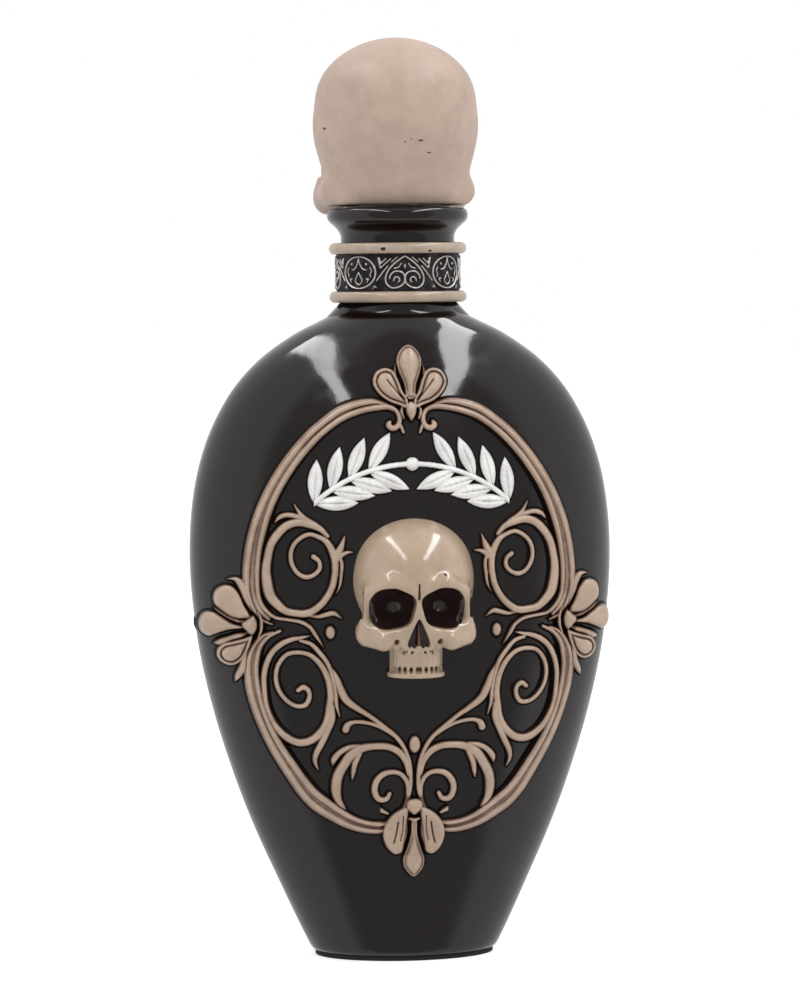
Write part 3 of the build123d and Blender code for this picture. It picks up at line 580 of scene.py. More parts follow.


# Cartouche: crests, double mouldings and scrolls
# The ornament on the front is cast with the body: a palmette crest at each of the four ends, double
# mouldings between them, and scrolls inside. It is painted bone over the dark resin, washed with brown,
# with painted shade down the sides of its strokes and near-black painted shade at their feet.
panel_height = 68.0
panel_half_width = 32.0
panel_half_height = 41.2
stroke_width = 1.8
crest_relief = 2.2
moulding_relief = 1.5
web_relief = 0.95
scroll_relief = 1.2
sheet_pitch = 0.15
sheet_bottom = 14.7
sheet_side_columns = 277
sheet_row_count = 724
sheet_back = 0.9
box_margin = 0.6
outer_slope = 3.0
skirt_width = 0.5
skirt_height = 0.17
skirt_sink = 0.03
sunk = -outer_slope * skirt_width
window_margin = skirt_width + 0.2
carved_margin = 1.0
carved_steps = 4
least_half_width = 0.08
groove_half_width = 0.14
bare_height = -2.0

sheet_columns = np.arange(-sheet_side_columns, sheet_side_columns + 1) * sheet_pitch
sheet_rows = sheet_bottom + np.arange(sheet_row_count) * sheet_pitch

# Strokes of the left half. Each point holds shares of the half width, the half height and the stroke width
upper_moulding_shares = [
    [
        (-0.145, 1.01, 0.43), (-0.23, 1.02, 0.75), (-0.325, 1.01, 0.91), (-0.43, 0.98, 0.96),
        (-0.53, 0.925, 0.96), (-0.62, 0.865, 0.96), (-0.75, 0.745, 0.96), (-0.855, 0.615, 0.96),
        (-0.94, 0.46, 0.91), (-0.985, 0.305, 0.91), (-0.995, 0.15, 0.8), (-0.975, 0.085, 0.64),
        (-0.945, 0.035, 0.53), (-0.905, 0.0, 0.43), (-0.845, -0.02, 0.27),
    ],
    [
        (-0.07, 0.955, 0.53), (-0.095, 0.98, 0.64), (-0.14, 0.995, 0.75), (-0.23, 0.99, 0.8),
        (-0.315, 0.975, 0.8), (-0.4, 0.95, 0.8), (-0.49, 0.905, 0.8), (-0.58, 0.845, 0.85),
        (-0.705, 0.73, 0.85), (-0.815, 0.59, 0.85), (-0.885, 0.445, 0.8), (-0.925, 0.29, 0.64),
        (-0.93, 0.155, 0.59), (-0.915, 0.09, 0.53), (-0.88, 0.045, 0.53), (-0.83, 0.015, 0.48),
        (-0.755, 0.005, 0.48), (-0.68, -0.005, 0.53), (-0.625, -0.03, 0.53), (-0.59, -0.07, 0.53),
        (-0.545, -0.125, 0.13),
    ],
    [
        (-0.97, 0.045, 0.27), (-1.0, 0.105, 0.75), (-1.02, 0.16, 1.07), (-1.055, 0.19, 0.64),
        (-1.105, 0.19, 0.13),
    ],
    [
        (-0.095, 0.98, 0.5), (-0.075, 0.955, 0.62), (-0.073, 0.925, 0.66), (-0.09, 0.902, 0.72),
        (-0.118, 0.896, 0.78), (-0.138, 0.91, 0.8), (-0.13, 0.925, 0.5),
    ],
    [(-0.08, 0.93, 0.4), (-0.062, 0.9, 0.5), (-0.05, 0.875, 0.36)],
]
upper_web_shares = [
    (-0.2, 1.005, 0.3), (-0.325, 0.993, 0.5), (-0.415, 0.965, 0.6), (-0.51, 0.915, 0.6),
    (-0.6, 0.855, 0.6), (-0.728, 0.738, 0.9), (-0.835, 0.603, 1.0), (-0.912, 0.453, 1.1),
    (-0.955, 0.298, 1.1), (-0.963, 0.152, 1.0), (-0.945, 0.09, 0.9), (-0.912, 0.04, 0.8),
    (-0.868, 0.007, 0.6),
]
lower_moulding_shares = [
    [
        (-0.845, -0.055, 0.32), (-0.905, -0.075, 0.48), (-0.945, -0.11, 0.59), (-0.975, -0.155, 0.75),
        (-0.99, -0.21, 0.85), (-0.98, -0.32, 0.91), (-0.93, -0.455, 0.96), (-0.845, -0.605, 1.01),
        (-0.73, -0.755, 1.01), (-0.665, -0.83, 1.01), (-0.59, -0.89, 1.01), (-0.5, -0.935, 0.96),
        (-0.405, -0.975, 0.85), (-0.3, -1.0, 0.75), (-0.205, -1.005, 0.64), (-0.135, -0.99, 0.53),
    ],
    [
        (-0.8, -0.05, 0.43), (-0.87, -0.08, 0.53), (-0.915, -0.125, 0.59), (-0.935, -0.185, 0.64),
        (-0.94, -0.25, 0.64), (-0.91, -0.395, 0.75), (-0.84, -0.54, 0.85), (-0.73, -0.68, 0.91),
        (-0.6, -0.815, 0.91), (-0.52, -0.865, 0.91), (-0.44, -0.91, 0.8), (-0.36, -0.945, 0.69),
        (-0.28, -0.965, 0.64), (-0.195, -0.97, 0.64), (-0.135, -0.96, 0.53),
    ],
    [
        (-0.99, -0.115, 0.32), (-1.01, -0.175, 0.75), (-1.02, -0.23, 0.96), (-1.045, -0.27, 0.75),
        (-1.06, -0.295, 0.21),
    ],
]
lower_web_shares = [
    (-0.888, -0.078, 0.4), (-0.93, -0.118, 0.6), (-0.955, -0.17, 0.8), (-0.965, -0.23, 0.9),
    (-0.945, -0.358, 1.0), (-0.885, -0.498, 1.1), (-0.788, -0.643, 1.2), (-0.665, -0.785, 1.2),
    (-0.555, -0.878, 1.1), (-0.47, -0.923, 0.9), (-0.383, -0.96, 0.7), (-0.29, -0.983, 0.6),
    (-0.2, -0.988, 0.5),
]
upper_scroll_shares = [
    [
        (-0.515, 0.395, 0.53), (-0.56, 0.43, 0.8), (-0.62, 0.45, 0.96), (-0.69, 0.46, 1.01),
        (-0.755, 0.445, 1.07), (-0.81, 0.405, 1.07), (-0.85, 0.355, 1.07), (-0.87, 0.295, 1.07),
        (-0.88, 0.235, 1.17), (-0.875, 0.175, 1.33), (-0.855, 0.115, 1.33), (-0.815, 0.075, 1.17),
        (-0.765, 0.045, 1.01), (-0.705, 0.035, 0.96), (-0.64, 0.035, 0.96), (-0.575, 0.065, 0.91),
        (-0.525, 0.11, 0.85), (-0.49, 0.165, 0.85), (-0.475, 0.225, 0.85),
    ],
    [
        (-0.475, 0.215, 0.85), (-0.475, 0.28, 0.91), (-0.495, 0.335, 0.91), (-0.53, 0.375, 0.75),
        (-0.575, 0.395, 0.64), (-0.625, 0.405, 0.59), (-0.68, 0.385, 0.59), (-0.72, 0.35, 0.59),
        (-0.735, 0.305, 0.59), (-0.725, 0.26, 0.59), (-0.69, 0.22, 0.59), (-0.645, 0.205, 0.64),
        (-0.6, 0.215, 0.59), (-0.565, 0.245, 0.59), (-0.57, 0.28, 0.59), (-0.6, 0.3, 0.69),
    ],
    [
        (-0.645, 0.47, 0.53), (-0.705, 0.49, 0.64), (-0.755, 0.495, 0.64), (-0.795, 0.485, 0.59),
        (-0.825, 0.46, 0.21),
    ],
    [(-0.585, 0.45, 0.64), (-0.64, 0.475, 0.64), (-0.675, 0.5, 0.53), (-0.71, 0.545, 0.16)],
    [(-0.48, 0.265, 0.64), (-0.46, 0.31, 0.96), (-0.435, 0.35, 0.75), (-0.415, 0.395, 0.21)],
    [(-0.455, 0.29, 0.64), (-0.43, 0.31, 0.64), (-0.4, 0.32, 0.48), (-0.365, 0.32, 0.13)],
    [
        (-0.45, 0.31, 0.53), (-0.435, 0.265, 0.53), (-0.44, 0.21, 0.48), (-0.45, 0.16, 0.37),
        (-0.475, 0.12, 0.13),
    ],
    [
        (-0.64, 0.025, 0.32), (-0.575, 0.02, 0.53), (-0.525, 0.03, 0.64), (-0.485, 0.035, 0.64),
        (-0.435, 0.01, 0.13),
    ],
]
lower_scroll_shares = [
    [
        (-0.62, -0.07, 0.21), (-0.675, -0.08, 0.48), (-0.735, -0.09, 0.64), (-0.79, -0.11, 0.75),
        (-0.84, -0.145, 0.75), (-0.875, -0.195, 0.75), (-0.895, -0.26, 0.75), (-0.895, -0.325, 0.75),
        (-0.885, -0.4, 0.8), (-0.86, -0.46, 0.85), (-0.815, -0.52, 0.96), (-0.755, -0.56, 1.01),
        (-0.69, -0.58, 1.01), (-0.625, -0.57, 1.01), (-0.57, -0.535, 1.01), (-0.53, -0.485, 0.96),
        (-0.51, -0.415, 0.91),
    ],
    [
        (-0.515, -0.425, 0.91), (-0.505, -0.35, 0.85), (-0.52, -0.275, 0.8), (-0.565, -0.205, 0.75),
        (-0.63, -0.16, 0.64), (-0.7, -0.15, 0.59), (-0.76, -0.16, 0.59), (-0.805, -0.2, 0.59),
        (-0.825, -0.25, 0.59), (-0.82, -0.305, 0.59), (-0.795, -0.35, 0.59), (-0.755, -0.385, 0.59),
        (-0.705, -0.405, 0.59), (-0.655, -0.4, 0.64), (-0.63, -0.365, 0.64), (-0.635, -0.33, 0.64),
        (-0.665, -0.315, 0.69), (-0.695, -0.33, 0.59),
    ],
    [
        (-0.68, -0.095, 0.48), (-0.62, -0.11, 0.59), (-0.565, -0.155, 0.64), (-0.52, -0.205, 0.64),
        (-0.49, -0.275, 0.59), (-0.475, -0.34, 0.59), (-0.47, -0.4, 0.53), (-0.45, -0.455, 0.21),
    ],
    [
        (-0.5, -0.405, 0.75), (-0.495, -0.465, 0.8), (-0.525, -0.525, 0.85), (-0.56, -0.585, 0.85),
        (-0.59, -0.635, 0.75), (-0.595, -0.67, 0.59), (-0.575, -0.71, 0.21),
    ],
]
bottom_scroll_shares = [
    [
        (-0.495, -0.225, 0.27), (-0.47, -0.27, 0.75), (-0.445, -0.325, 1.01), (-0.41, -0.375, 1.01),
        (-0.345, -0.415, 0.8), (-0.265, -0.455, 0.64), (-0.19, -0.5, 0.59), (-0.115, -0.55, 0.59),
        (-0.065, -0.605, 0.59), (-0.035, -0.665, 0.59), (-0.025, -0.725, 0.59), (-0.025, -0.79, 0.59),
        (-0.04, -0.845, 0.64), (-0.06, -0.895, 0.69), (-0.09, -0.935, 0.64),
    ],
    [
        (-0.1, -0.565, 0.32), (-0.165, -0.525, 0.48), (-0.235, -0.495, 0.53), (-0.31, -0.48, 0.53),
        (-0.37, -0.48, 0.59), (-0.405, -0.495, 0.85), (-0.415, -0.515, 0.96),
    ],
    [
        (-0.035, -0.73, 0.59), (-0.055, -0.67, 0.75), (-0.095, -0.625, 0.91), (-0.155, -0.6, 0.91),
        (-0.235, -0.595, 0.91), (-0.315, -0.605, 1.07), (-0.38, -0.635, 1.28), (-0.425, -0.685, 1.28),
        (-0.46, -0.74, 1.28), (-0.47, -0.805, 1.28), (-0.455, -0.86, 0.96), (-0.42, -0.895, 0.53),
    ],
    [
        (-0.33, -0.59, 0.4), (-0.395, -0.6, 0.64), (-0.45, -0.625, 0.75), (-0.485, -0.66, 0.75),
        (-0.49, -0.685, 0.27),
    ],
    [(-0.33, -0.63, 0.64), (-0.36, -0.68, 0.75), (-0.37, -0.725, 0.59), (-0.375, -0.755, 0.21)],
    [
        (-0.06, -0.895, 0.53), (-0.04, -0.84, 0.59), (-0.04, -0.79, 0.59), (-0.055, -0.755, 0.64),
        (-0.085, -0.73, 0.64), (-0.13, -0.72, 0.69), (-0.19, -0.73, 0.8), (-0.23, -0.765, 0.85),
        (-0.24, -0.81, 0.85), (-0.215, -0.85, 0.8), (-0.17, -0.85, 0.69), (-0.15, -0.825, 0.59),
    ],
]

# Heights over a petal, as shares of its relief, by the distance in from its edge in millimetres
plump = ((0, 0.15, 0.35, 0.7, 1.2, 2.0), (0, 0.5, 0.72, 0.9, 0.98, 1.0))
rimmed = ((0, 0.15, 0.36, 0.6, 0.82, 1.15, 1.6, 2.2), (0, 0.62, 0.82, 0.74, 0.5, 0.84, 0.98, 1.0))
ridged = ((0, 0.12, 0.28, 0.5, 0.75, 1.3, 2.4), (0, 0.55, 0.66, 0.5, 0.66, 0.86, 1.0))


def with_mirror(half):
    """A closed outline from its left half. A point on the middle line isn't doubled."""
    return half + [(-across, up) for across, up in reversed(half) if across]


# Closed outlines of the petals, in shares of the half width and the half height, each with its share of the
# crest's relief and its section
top_petal_shares = [
    (0.92, rimmed, [
        (-0.02, 0.985), (-0.075, 1.0), (-0.14, 1.02), (-0.2, 1.06), (-0.228, 1.11), (-0.205, 1.158),
        (-0.15, 1.178), (-0.1, 1.165), (-0.07, 1.125), (-0.045, 1.07), (-0.012, 1.02),
    ]),
    (1.0, ridged, with_mirror([
        (0.0, 1.285), (-0.05, 1.262), (-0.078, 1.215), (-0.068, 1.16), (-0.04, 1.1), (-0.02, 1.03),
    ])),
    (1.0, plump, with_mirror([(0.0, 1.025), (-0.03, 1.005), (-0.036, 0.97), (0.0, 0.925)])),
]
top_stroke_shares = [
    (0.85, [(-0.05, 1.0, 0.3), (-0.058, 0.972, 0.45), (-0.045, 0.94, 0.3)]),
    (0.95, [(-0.045, 1.03, 0.3), (-0.022, 1.05, 0.42), (0.0, 1.056, 0.45)]),
    (0.8, [(-0.05, 1.06, 0.25), (-0.075, 1.1, 0.3), (-0.088, 1.15, 0.34), (-0.083, 1.19, 0.2)]),
]
side_petal_shares = [
    (0.9, plump, [
        (-0.97, 0.01), (-1.005, 0.07), (-1.035, 0.125), (-1.075, 0.16), (-1.125, 0.165), (-1.17, 0.145),
        (-1.19, 0.105), (-1.18, 0.065), (-1.14, 0.035), (-1.07, 0.005),
    ]),
    (0.75, plump, [
        (-0.98, 0.0), (-1.04, 0.005), (-1.1, 0.02), (-1.15, 0.045), (-1.185, 0.055), (-1.17, 0.03),
        (-1.1, -0.005), (-1.03, -0.02),
    ]),
    (1.0, plump, [
        (-0.98, -0.035), (-1.07, -0.018), (-1.13, 0.01), (-1.185, 0.035), (-1.23, 0.035), (-1.262, 0.008),
        (-1.272, -0.035), (-1.258, -0.07), (-1.215, -0.09), (-1.165, -0.075), (-1.1, -0.055),
    ]),
    (0.7, plump, [
        (-0.97, -0.055), (-1.04, -0.06), (-1.1, -0.075), (-1.16, -0.095), (-1.185, -0.12), (-1.15, -0.13),
        (-1.08, -0.105), (-1.01, -0.085),
    ]),
    (0.9, rimmed, [
        (-0.96, -0.07), (-1.01, -0.085), (-1.07, -0.1), (-1.13, -0.115), (-1.165, -0.145), (-1.165, -0.185),
        (-1.13, -0.215), (-1.075, -0.222), (-1.02, -0.195), (-0.985, -0.145),
    ]),
    (1.1, plump, [
        (-0.955, 0.025), (-1.0, 0.005), (-1.03, -0.02), (-1.005, -0.055), (-0.965, -0.075), (-0.94, -0.055),
        (-0.93, -0.02), (-0.94, 0.01),
    ]),
]
side_stroke_shares = [
    (0.8, [(-0.93, 0.04, 0.3), (-0.912, 0.0, 0.45), (-0.912, -0.045, 0.45), (-0.93, -0.085, 0.3)]),
    (0.5, [
        (-0.92, -0.03, 0.5), (-0.86, -0.035, 0.6), (-0.79, -0.03, 0.7), (-0.72, -0.04, 0.6),
        (-0.66, -0.055, 0.3),
    ]),
    (0.72, [(-0.795, 0.005, 0.3), (-0.785, -0.03, 0.42), (-0.795, -0.07, 0.3)]),
    (0.72, [(-0.76, 0.0, 0.3), (-0.75, -0.03, 0.36), (-0.755, -0.07, 0.3)]),
]
bottom_petal_shares = [
    (0.9, plump, [
        (-0.035, -0.885), (-0.1, -0.9), (-0.155, -0.935), (-0.19, -0.985), (-0.192, -1.04), (-0.165, -1.09),
        (-0.115, -1.122), (-0.07, -1.11), (-0.055, -1.06), (-0.045, -0.985),
    ]),
    (1.0, ridged, with_mirror([
        (-0.014, -0.95), (-0.022, -1.02), (-0.045, -1.085), (-0.068, -1.14), (-0.058, -1.185), (0.0, -1.23),
    ])),
    (1.0, plump, with_mirror([
        (0.0, -0.845), (-0.045, -0.855), (-0.056, -0.885), (-0.035, -0.912), (0.0, -0.93),
    ])),
]
bottom_stroke_shares = [
    (0.95, [(-0.028, -0.945, 0.4), (0.0, -0.952, 0.5)]),
    (0.7, [(-0.045, -0.96, 0.3), (-0.05, -1.02, 0.42), (-0.072, -1.075, 0.4), (-0.09, -1.1, 0.2)]),
    (0.75, [(-0.16, -0.92, 0.4), (-0.21, -0.9, 0.62), (-0.255, -0.885, 0.6), (-0.28, -0.872, 0.3)]),
    (0.6, [(-0.062, -0.88, 0.3), (-0.07, -0.93, 0.4), (-0.055, -0.97, 0.2)]),
]


def bare_field():
    """Heights over the body's front, all well below its surface."""
    return np.full((len(sheet_rows), len(sheet_columns)), bare_height)


def window_round(low, high):
    """The part of the field between two corners, with the places of its columns and rows."""
    left, right = np.searchsorted(sheet_columns, (low[0], high[0]))
    bottom, top = np.searchsorted(sheet_rows, (low[1], high[1]))
    window = (slice(bottom, top), slice(left, right))
    return window, sheet_columns[None, left:right], sheet_rows[bottom:top, None]


def on_panel(shares):
    """Points of the panel in millimetres. A third share is a breadth, and becomes half of its width."""
    return [
        (share[0] * panel_half_width, panel_height + share[1] * panel_half_height)
        + tuple(breadth * stroke_width / 2 for breadth in share[2:])
        for share in shares
    ]


def lay_stroke(field, stroke, relief, grooves=()):
    """Raises one rounded stroke that swells and tapers. Each groove has a place across it and a depth.

    Places across run from -1 at the right of the stroke, as it is drawn, to 1 at its left.
    """
    points = smooth_through(on_panel(stroke), line_steps)
    for (x0, z0, w0), (x1, z1, w1) in zip(points, points[1:]):
        reach = max(w0, w1) + window_margin
        window, across, up = window_round(
            (min(x0, x1) - reach, min(z0, z1) - reach), (max(x0, x1) + reach, max(z0, z1) + reach)
        )
        length = np.hypot(x1 - x0, z1 - z0)
        along = ((across - x0) * (x1 - x0) + (up - z0) * (z1 - z0)) / length ** 2
        along = np.clip(along, 0, 1)
        away = np.hypot(across - x0 - along * (x1 - x0), up - z0 - along * (z1 - z0))
        half = np.maximum(w0 + along * (w1 - w0), least_half_width)
        crown = relief * np.minimum(1, 0.4 + 0.85 * half)
        inside = np.clip(1 - (away / half) ** 2, 0, 1) ** 0.55
        aside = ((x1 - x0) * (up - z0) - (z1 - z0) * (across - x0)) / length / half
        for side, depth in grooves:
            inside = inside * (1 - depth * np.exp(-(((aside - side) * half / groove_half_width) ** 2)))
        height = np.where(away < half, crown * inside, (half - away) * outer_slope)
        field[window] = np.maximum(field[window], height)


def depth_inside(across, up, points):
    """How far places lie inside a closed outline. Outside it, the distance is negative."""
    away = np.full(np.broadcast(across, up).shape, 9.0)
    crossings = np.zeros(away.shape, int)
    for (x0, z0), (x1, z1) in zip(points, np.roll(points, -1, axis=0)):
        away = np.minimum(away, line_distance(across, up, (x0, z0), (x1, z1)))
        if z0 != z1:
            meets = ((z0 > up) != (z1 > up)) & (across < (x1 - x0) * (up - z0) / (z1 - z0) + x0)
            crossings = crossings + meets
    return np.where(crossings % 2 == 1, away, -away)


def lay_petal(field, outline, relief, section):
    """Raises one closed petal whose section runs in from its edge."""
    points = smooth_through(on_panel(outline), line_steps, True)
    window, across, up = window_round(points.min(0) - window_margin, points.max(0) + window_margin)
    inside = depth_inside(across, up, points)
    height = np.where(inside > 0, relief * np.interp(inside, *section), outer_slope * inside)
    field[window] = np.maximum(field[window], height)


def carve(field, line, half_width, depth):
    """Engraves a soft groove along a line that is drawn in shares of the panel."""
    points = smooth_through(on_panel(line), carved_steps)
    window, across, up = window_round(points.min(0) - carved_margin, points.max(0) + carved_margin)
    reach = path_distance(across, up, points)
    groove = depth * np.exp(-((reach / half_width) ** 2))
    field[window] = np.where(field[window] > 0.1, np.maximum(field[window] - groove, 0.1), field[window])


def lay_bead(field, place, half_width, half_height, relief):
    """Raises one egg-shaped bead with a flattened top."""
    x0, z0 = on_panel([place])[0]
    across_room, up_room = half_width + window_margin, half_height + window_margin
    window, across, up = window_round((x0 - across_room, z0 - up_room), (x0 + across_room, z0 + up_room))
    reach = np.hypot((across - x0) / half_width, (up - z0) / half_height)
    crown = relief * np.clip(1 - reach ** 2, 0, 1) ** 0.4
    height = np.where(reach < 1, crown, (1 - reach) * outer_slope * half_width)
    field[window] = np.maximum(field[window], height)


def both_sides(field):
    return np.maximum(field, field[:, ::-1])


# Grooves carved in the crests: the crest, a line in shares of the panel, a half width and a depth
crest_grooves = (
    ("top_crest", [(-0.04, 1.03), (-0.09, 1.07), (-0.14, 1.12)], 0.16, 0.5),
    ("bottom_crest", [(-0.1, -0.96), (-0.11, -1.01), (-0.125, -1.06)], 0.16, 0.6),
    ("bottom_crest", [(-0.07, -0.93), (-0.072, -0.99), (-0.085, -1.05)], 0.14, 0.45),
    ("left_crest", [(-1.0, -0.05), (-1.07, -0.055), (-1.15, -0.075)], 0.16, 0.5),
)

fields = {}
for name, petals, strokes in (
    ("top_crest", top_petal_shares, top_stroke_shares),
    ("bottom_crest", bottom_petal_shares, bottom_stroke_shares),
    ("left_crest", side_petal_shares, side_stroke_shares),
):
    fields[name] = bare_field()
    for share, section, outline in petals:
        lay_petal(fields[name], outline, crest_relief * share, section)
    for share, stroke in strokes:
        lay_stroke(fields[name], stroke, crest_relief * share)
for name, line, half_width, depth in crest_grooves:
    carve(fields[name], line, half_width, depth)
for name in ("top_crest", "bottom_crest"):
    fields[name] = both_sides(fields[name])
moulding_grooves = (((-0.42, 0.26),), ((0.45, 0.2),), (), (), ())
for name, strokes, web in (
    ("upper_left_frame", upper_moulding_shares, upper_web_shares),
    ("lower_left_frame", lower_moulding_shares, lower_web_shares),
):
    fields[name] = bare_field()
    lay_stroke(fields[name], web, web_relief)
    for stroke, grooves in zip(strokes, moulding_grooves):
        lay_stroke(fields[name], stroke, moulding_relief, grooves)
for name, strokes in (
    ("upper_left_scroll", upper_scroll_shares), ("lower_left_scroll", lower_scroll_shares),
    ("bottom_left_scroll", bottom_scroll_shares),
):
    fields[name] = bare_field()
    for stroke in strokes:
        lay_stroke(fields[name], stroke, scroll_relief)
for name, place, half_width, half_height, relief in (
    ("left_bead", (-0.505, -0.055), 1.0, 1.4, 1.0), ("drop_bead", (0.0, -0.59), 1.2, 1.8, 1.2),
):
    fields[name] = bare_field()
    lay_bead(fields[name], place, half_width, half_height, relief)

whole_relief = np.zeros((len(sheet_rows), len(sheet_columns)))
for field in fields.values():
    whole_relief = np.maximum(whole_relief, both_sides(field))
near_relief = blurred(whole_relief, 2)


def highest_near(grid, cells):
    """The greatest height within a number of cells of each place."""
    for axis in (0, 1):
        grid = np.max([np.roll(grid, step, axis) for step in range(-cells, cells + 1)], axis=0)
    return grid


peak_relief = blurred(highest_near(whole_relief, 5), 2)


def relief_piece(name, field):
    """One applied casting: a fine sheet over its CAD node's box, drawn out of the body's front."""
    low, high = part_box(name)
    low_corner = (low.x / mm - box_margin, low.z / mm - box_margin)
    high_corner = (high.x / mm + box_margin, high.z / mm + box_margin)
    window, across, up = window_round(low_corner, high_corner)
    height = field[window]
    clear_selection()
    bpy.ops.mesh.primitive_grid_add(
        x_subdivisions=height.shape[1] - 1, y_subdivisions=height.shape[0] - 1, size=2
    )
    piece = bpy.context.object
    piece.name = name + "_dressed"
    across, up = np.broadcast_arrays(across, up)
    outside = np.clip(-height / (outer_slope * skirt_width), 0, 1.5)
    skirt = skirt_height * np.clip(1 - outside, 0, 1) ** 2 - skirt_sink - 0.1 * np.clip(outside - 1, 0, 1)
    front = body_front(across, up, np.where(height < 0, skirt, height + skirt_height - skirt_sink))
    co = np.stack([across * mm, -front * mm, up * mm], axis=2)
    piece.data.vertices.foreach_set("co", co.ravel())
    # The wash is partly a brown wash and partly painted shade: brown down the sides of each stroke, darker in
    # the grooves between strands, near black on the skirt at its foot
    near = near_relief[window]
    peak = np.maximum(peak_relief[window], 0.3)
    stroke_side_shade = np.clip(1.15 - height / peak * 1.2, 0, 1)
    wash = np.maximum(stroke_side_shade, np.clip((near - height) * 2.2, 0, 1)) + np.where(height < 0.12, 0.6, 0.0)
    paint_values(piece, "wash", np.clip(wash, 0, 1))
    gone = (height < sunk).ravel()
    piece.data.polygons.foreach_set("select", np.zeros(len(piece.data.polygons), bool))
    piece.data.edges.foreach_set("select", np.zeros(len(piece.data.edges), bool))
    piece.data.vertices.foreach_set("select", gone)
    bpy.ops.object.mode_set(mode="EDIT")
    bpy.context.tool_settings.mesh_select_mode = (True, False, False)
    bpy.ops.mesh.delete(type="VERT")
    bpy.ops.mesh.select_all(action="SELECT")
    bpy.ops.mesh.delete_loose()
    bpy.ops.mesh.select_all(action="SELECT")
    bpy.ops.mesh.extrude_region_move(TRANSFORM_OT_translate={"value": (0, sheet_back * mm, 0)})
    finish_edit()
    return soften(piece, 0, limit=75)


def mirrored_copy(piece, name):
    """The same casting on the other side of the front."""
    select_alone(piece)
    bpy.ops.object.duplicate()
    copy = bpy.context.object
    copy.name = name + "_dressed"
    bpy.ops.object.mode_set(mode="EDIT")
    bpy.ops.mesh.select_all(action="SELECT")
    bpy.ops.transform.resize(value=(-1, 1, 1), center_override=(0, 0, 0))
    finish_edit()
    return copy


scroll_look = old_bone(
    "scroll bone paint", (0.44, 0.325, 0.245, 1), (0.12, 0.06, 0.04, 1), (0.006, 0.0035, 0.003, 1),
    {"Roughness": 0.33}, (0.14, 0.5, 0.85),
)
for name, field in fields.items():
    piece = relief_piece(name, field)
    if "left" in name:
        other = name.replace("left", "right")
        dress(mirrored_copy(piece, other), scroll_look, "scroll_bone", "bottle", other)
    dress(piece, scroll_look, "scroll_bone", "bottle", name)


# Laurel garland
# Two laurel sprays arch over the small skull and meet at a berry. They are raised from the body and
# picked out in white paint, darker along the veins, with painted shade at the foot of each leaf.
garland_height = 98.0
garland_half_span = 19.0
garland_rise = 7.5
garland_relief = 1.1
garland_stem_width = 1.0
berry_radius = 1.3
leaf_length = 8.6
leaf_half_width = 1.45
leaf_pitch = 4.1
leaf_pairs = 4
leaf_lean = 42
garland_radius = (garland_half_span ** 2 + garland_rise ** 2) / (2 * garland_rise)


def lay_leaf(field, veins, foot, heading):
    """Raises a pointed leaf, higher at its sides than along its vein."""
    ahead = np.array((cos(heading), sin(heading)))
    middle = foot + ahead * leaf_length / 2
    reach = leaf_length / 2 + window_margin
    window, across, up = window_round(middle - reach, middle + reach)
    along = ((across - foot[0]) * ahead[0] + (up - foot[1]) * ahead[1]) / leaf_length
    aside = (up - foot[1]) * ahead[0] - (across - foot[0]) * ahead[1]
    half = leaf_half_width * 4 * np.clip(along * (1 - along), 0, 1) + 1e-3
    share = np.abs(aside) / half
    crown = garland_relief * np.clip(0.35 + 2.4 * along * (1 - along), 0, 1)
    vein = 0.45 * np.exp(-(aside / 0.2) ** 2) * np.clip((1 - along) * 3, 0, 1)
    ribs = 0.05 * np.cos(2 * pi * (along * leaf_length - np.abs(aside) * 0.9) / 1.15)
    height = crown * np.clip(1 - share ** 2, 0, 1) ** 0.6 * (1 - vein + ribs)
    beyond = np.maximum(np.maximum(-along, along - 1), 0) * leaf_length
    beside = np.hypot(np.maximum(np.abs(aside) - half, 0), beyond)
    within = (share < 1) & (along > 0) & (along < 1)
    height = np.where(within, height, -outer_slope * np.maximum(beside, 0.02))
    field[window] = np.maximum(field[window], height)
    veins[window] = np.where((share < 1) & (height >= field[window] - 1e-6), vein, veins[window])


def nearest_cells(places, axis, step):
    """The numbers of the cells of an even axis that places are nearest to."""
    return np.clip(np.round((places - axis[0]) / step).astype(int), 0, len(axis) - 1)


garland = bare_field()
veins = np.zeros(garland.shape)
garland_centre = np.array((0.0, garland_height - garland_radius))
foot_angle = pi / 2 + np.arctan2(garland_half_span, garland_radius - garland_rise)
window, across, up = window_round((-garland_half_span, garland_height - 12), (0.4, garland_height + 3))
stem_away = np.abs(np.hypot(across, up - garland_centre[1]) - garland_radius)
stem = np.where(
    stem_away < garland_stem_width / 2,
    0.75 * garland_relief * np.sqrt(np.clip(1 - (2 * stem_away / garland_stem_width) ** 2, 0, 1)),
    (garland_stem_width / 2 - stem_away) * outer_slope,
)
garland[window] = np.maximum(garland[window], stem)
for pair in range(leaf_pairs):
    turned_by = foot_angle - pair * leaf_pitch / garland_radius
    foot = garland_centre + garland_radius * np.array((cos(turned_by), sin(turned_by)))
    for lean in (leaf_lean, -leaf_lean):
        lay_leaf(garland, veins, foot, turned_by - pi / 2 + radians(lean))
window, across, up = window_round((-berry_radius - 0.5, garland_height - 2), (0.5, garland_height + 2))
reach = np.hypot(across, up - garland_height) / berry_radius
crown = 1.25 * garland_relief * np.sqrt(np.clip(1 - reach ** 2, 0, 1))
berry = np.where(reach < 1, crown, (1 - reach) * outer_slope)
garland[window] = np.maximum(garland[window], berry)
garland = both_sides(garland)
veins = np.maximum(veins, veins[:, ::-1])
garland_piece = relief_piece("laurel_garland", garland)
points = mesh_points(garland_piece) / mm
rows = nearest_cells(points[:, 2], sheet_rows, sheet_pitch)
columns = nearest_cells(points[:, 0], sheet_columns, sheet_pitch)
grown = garland[rows, columns]
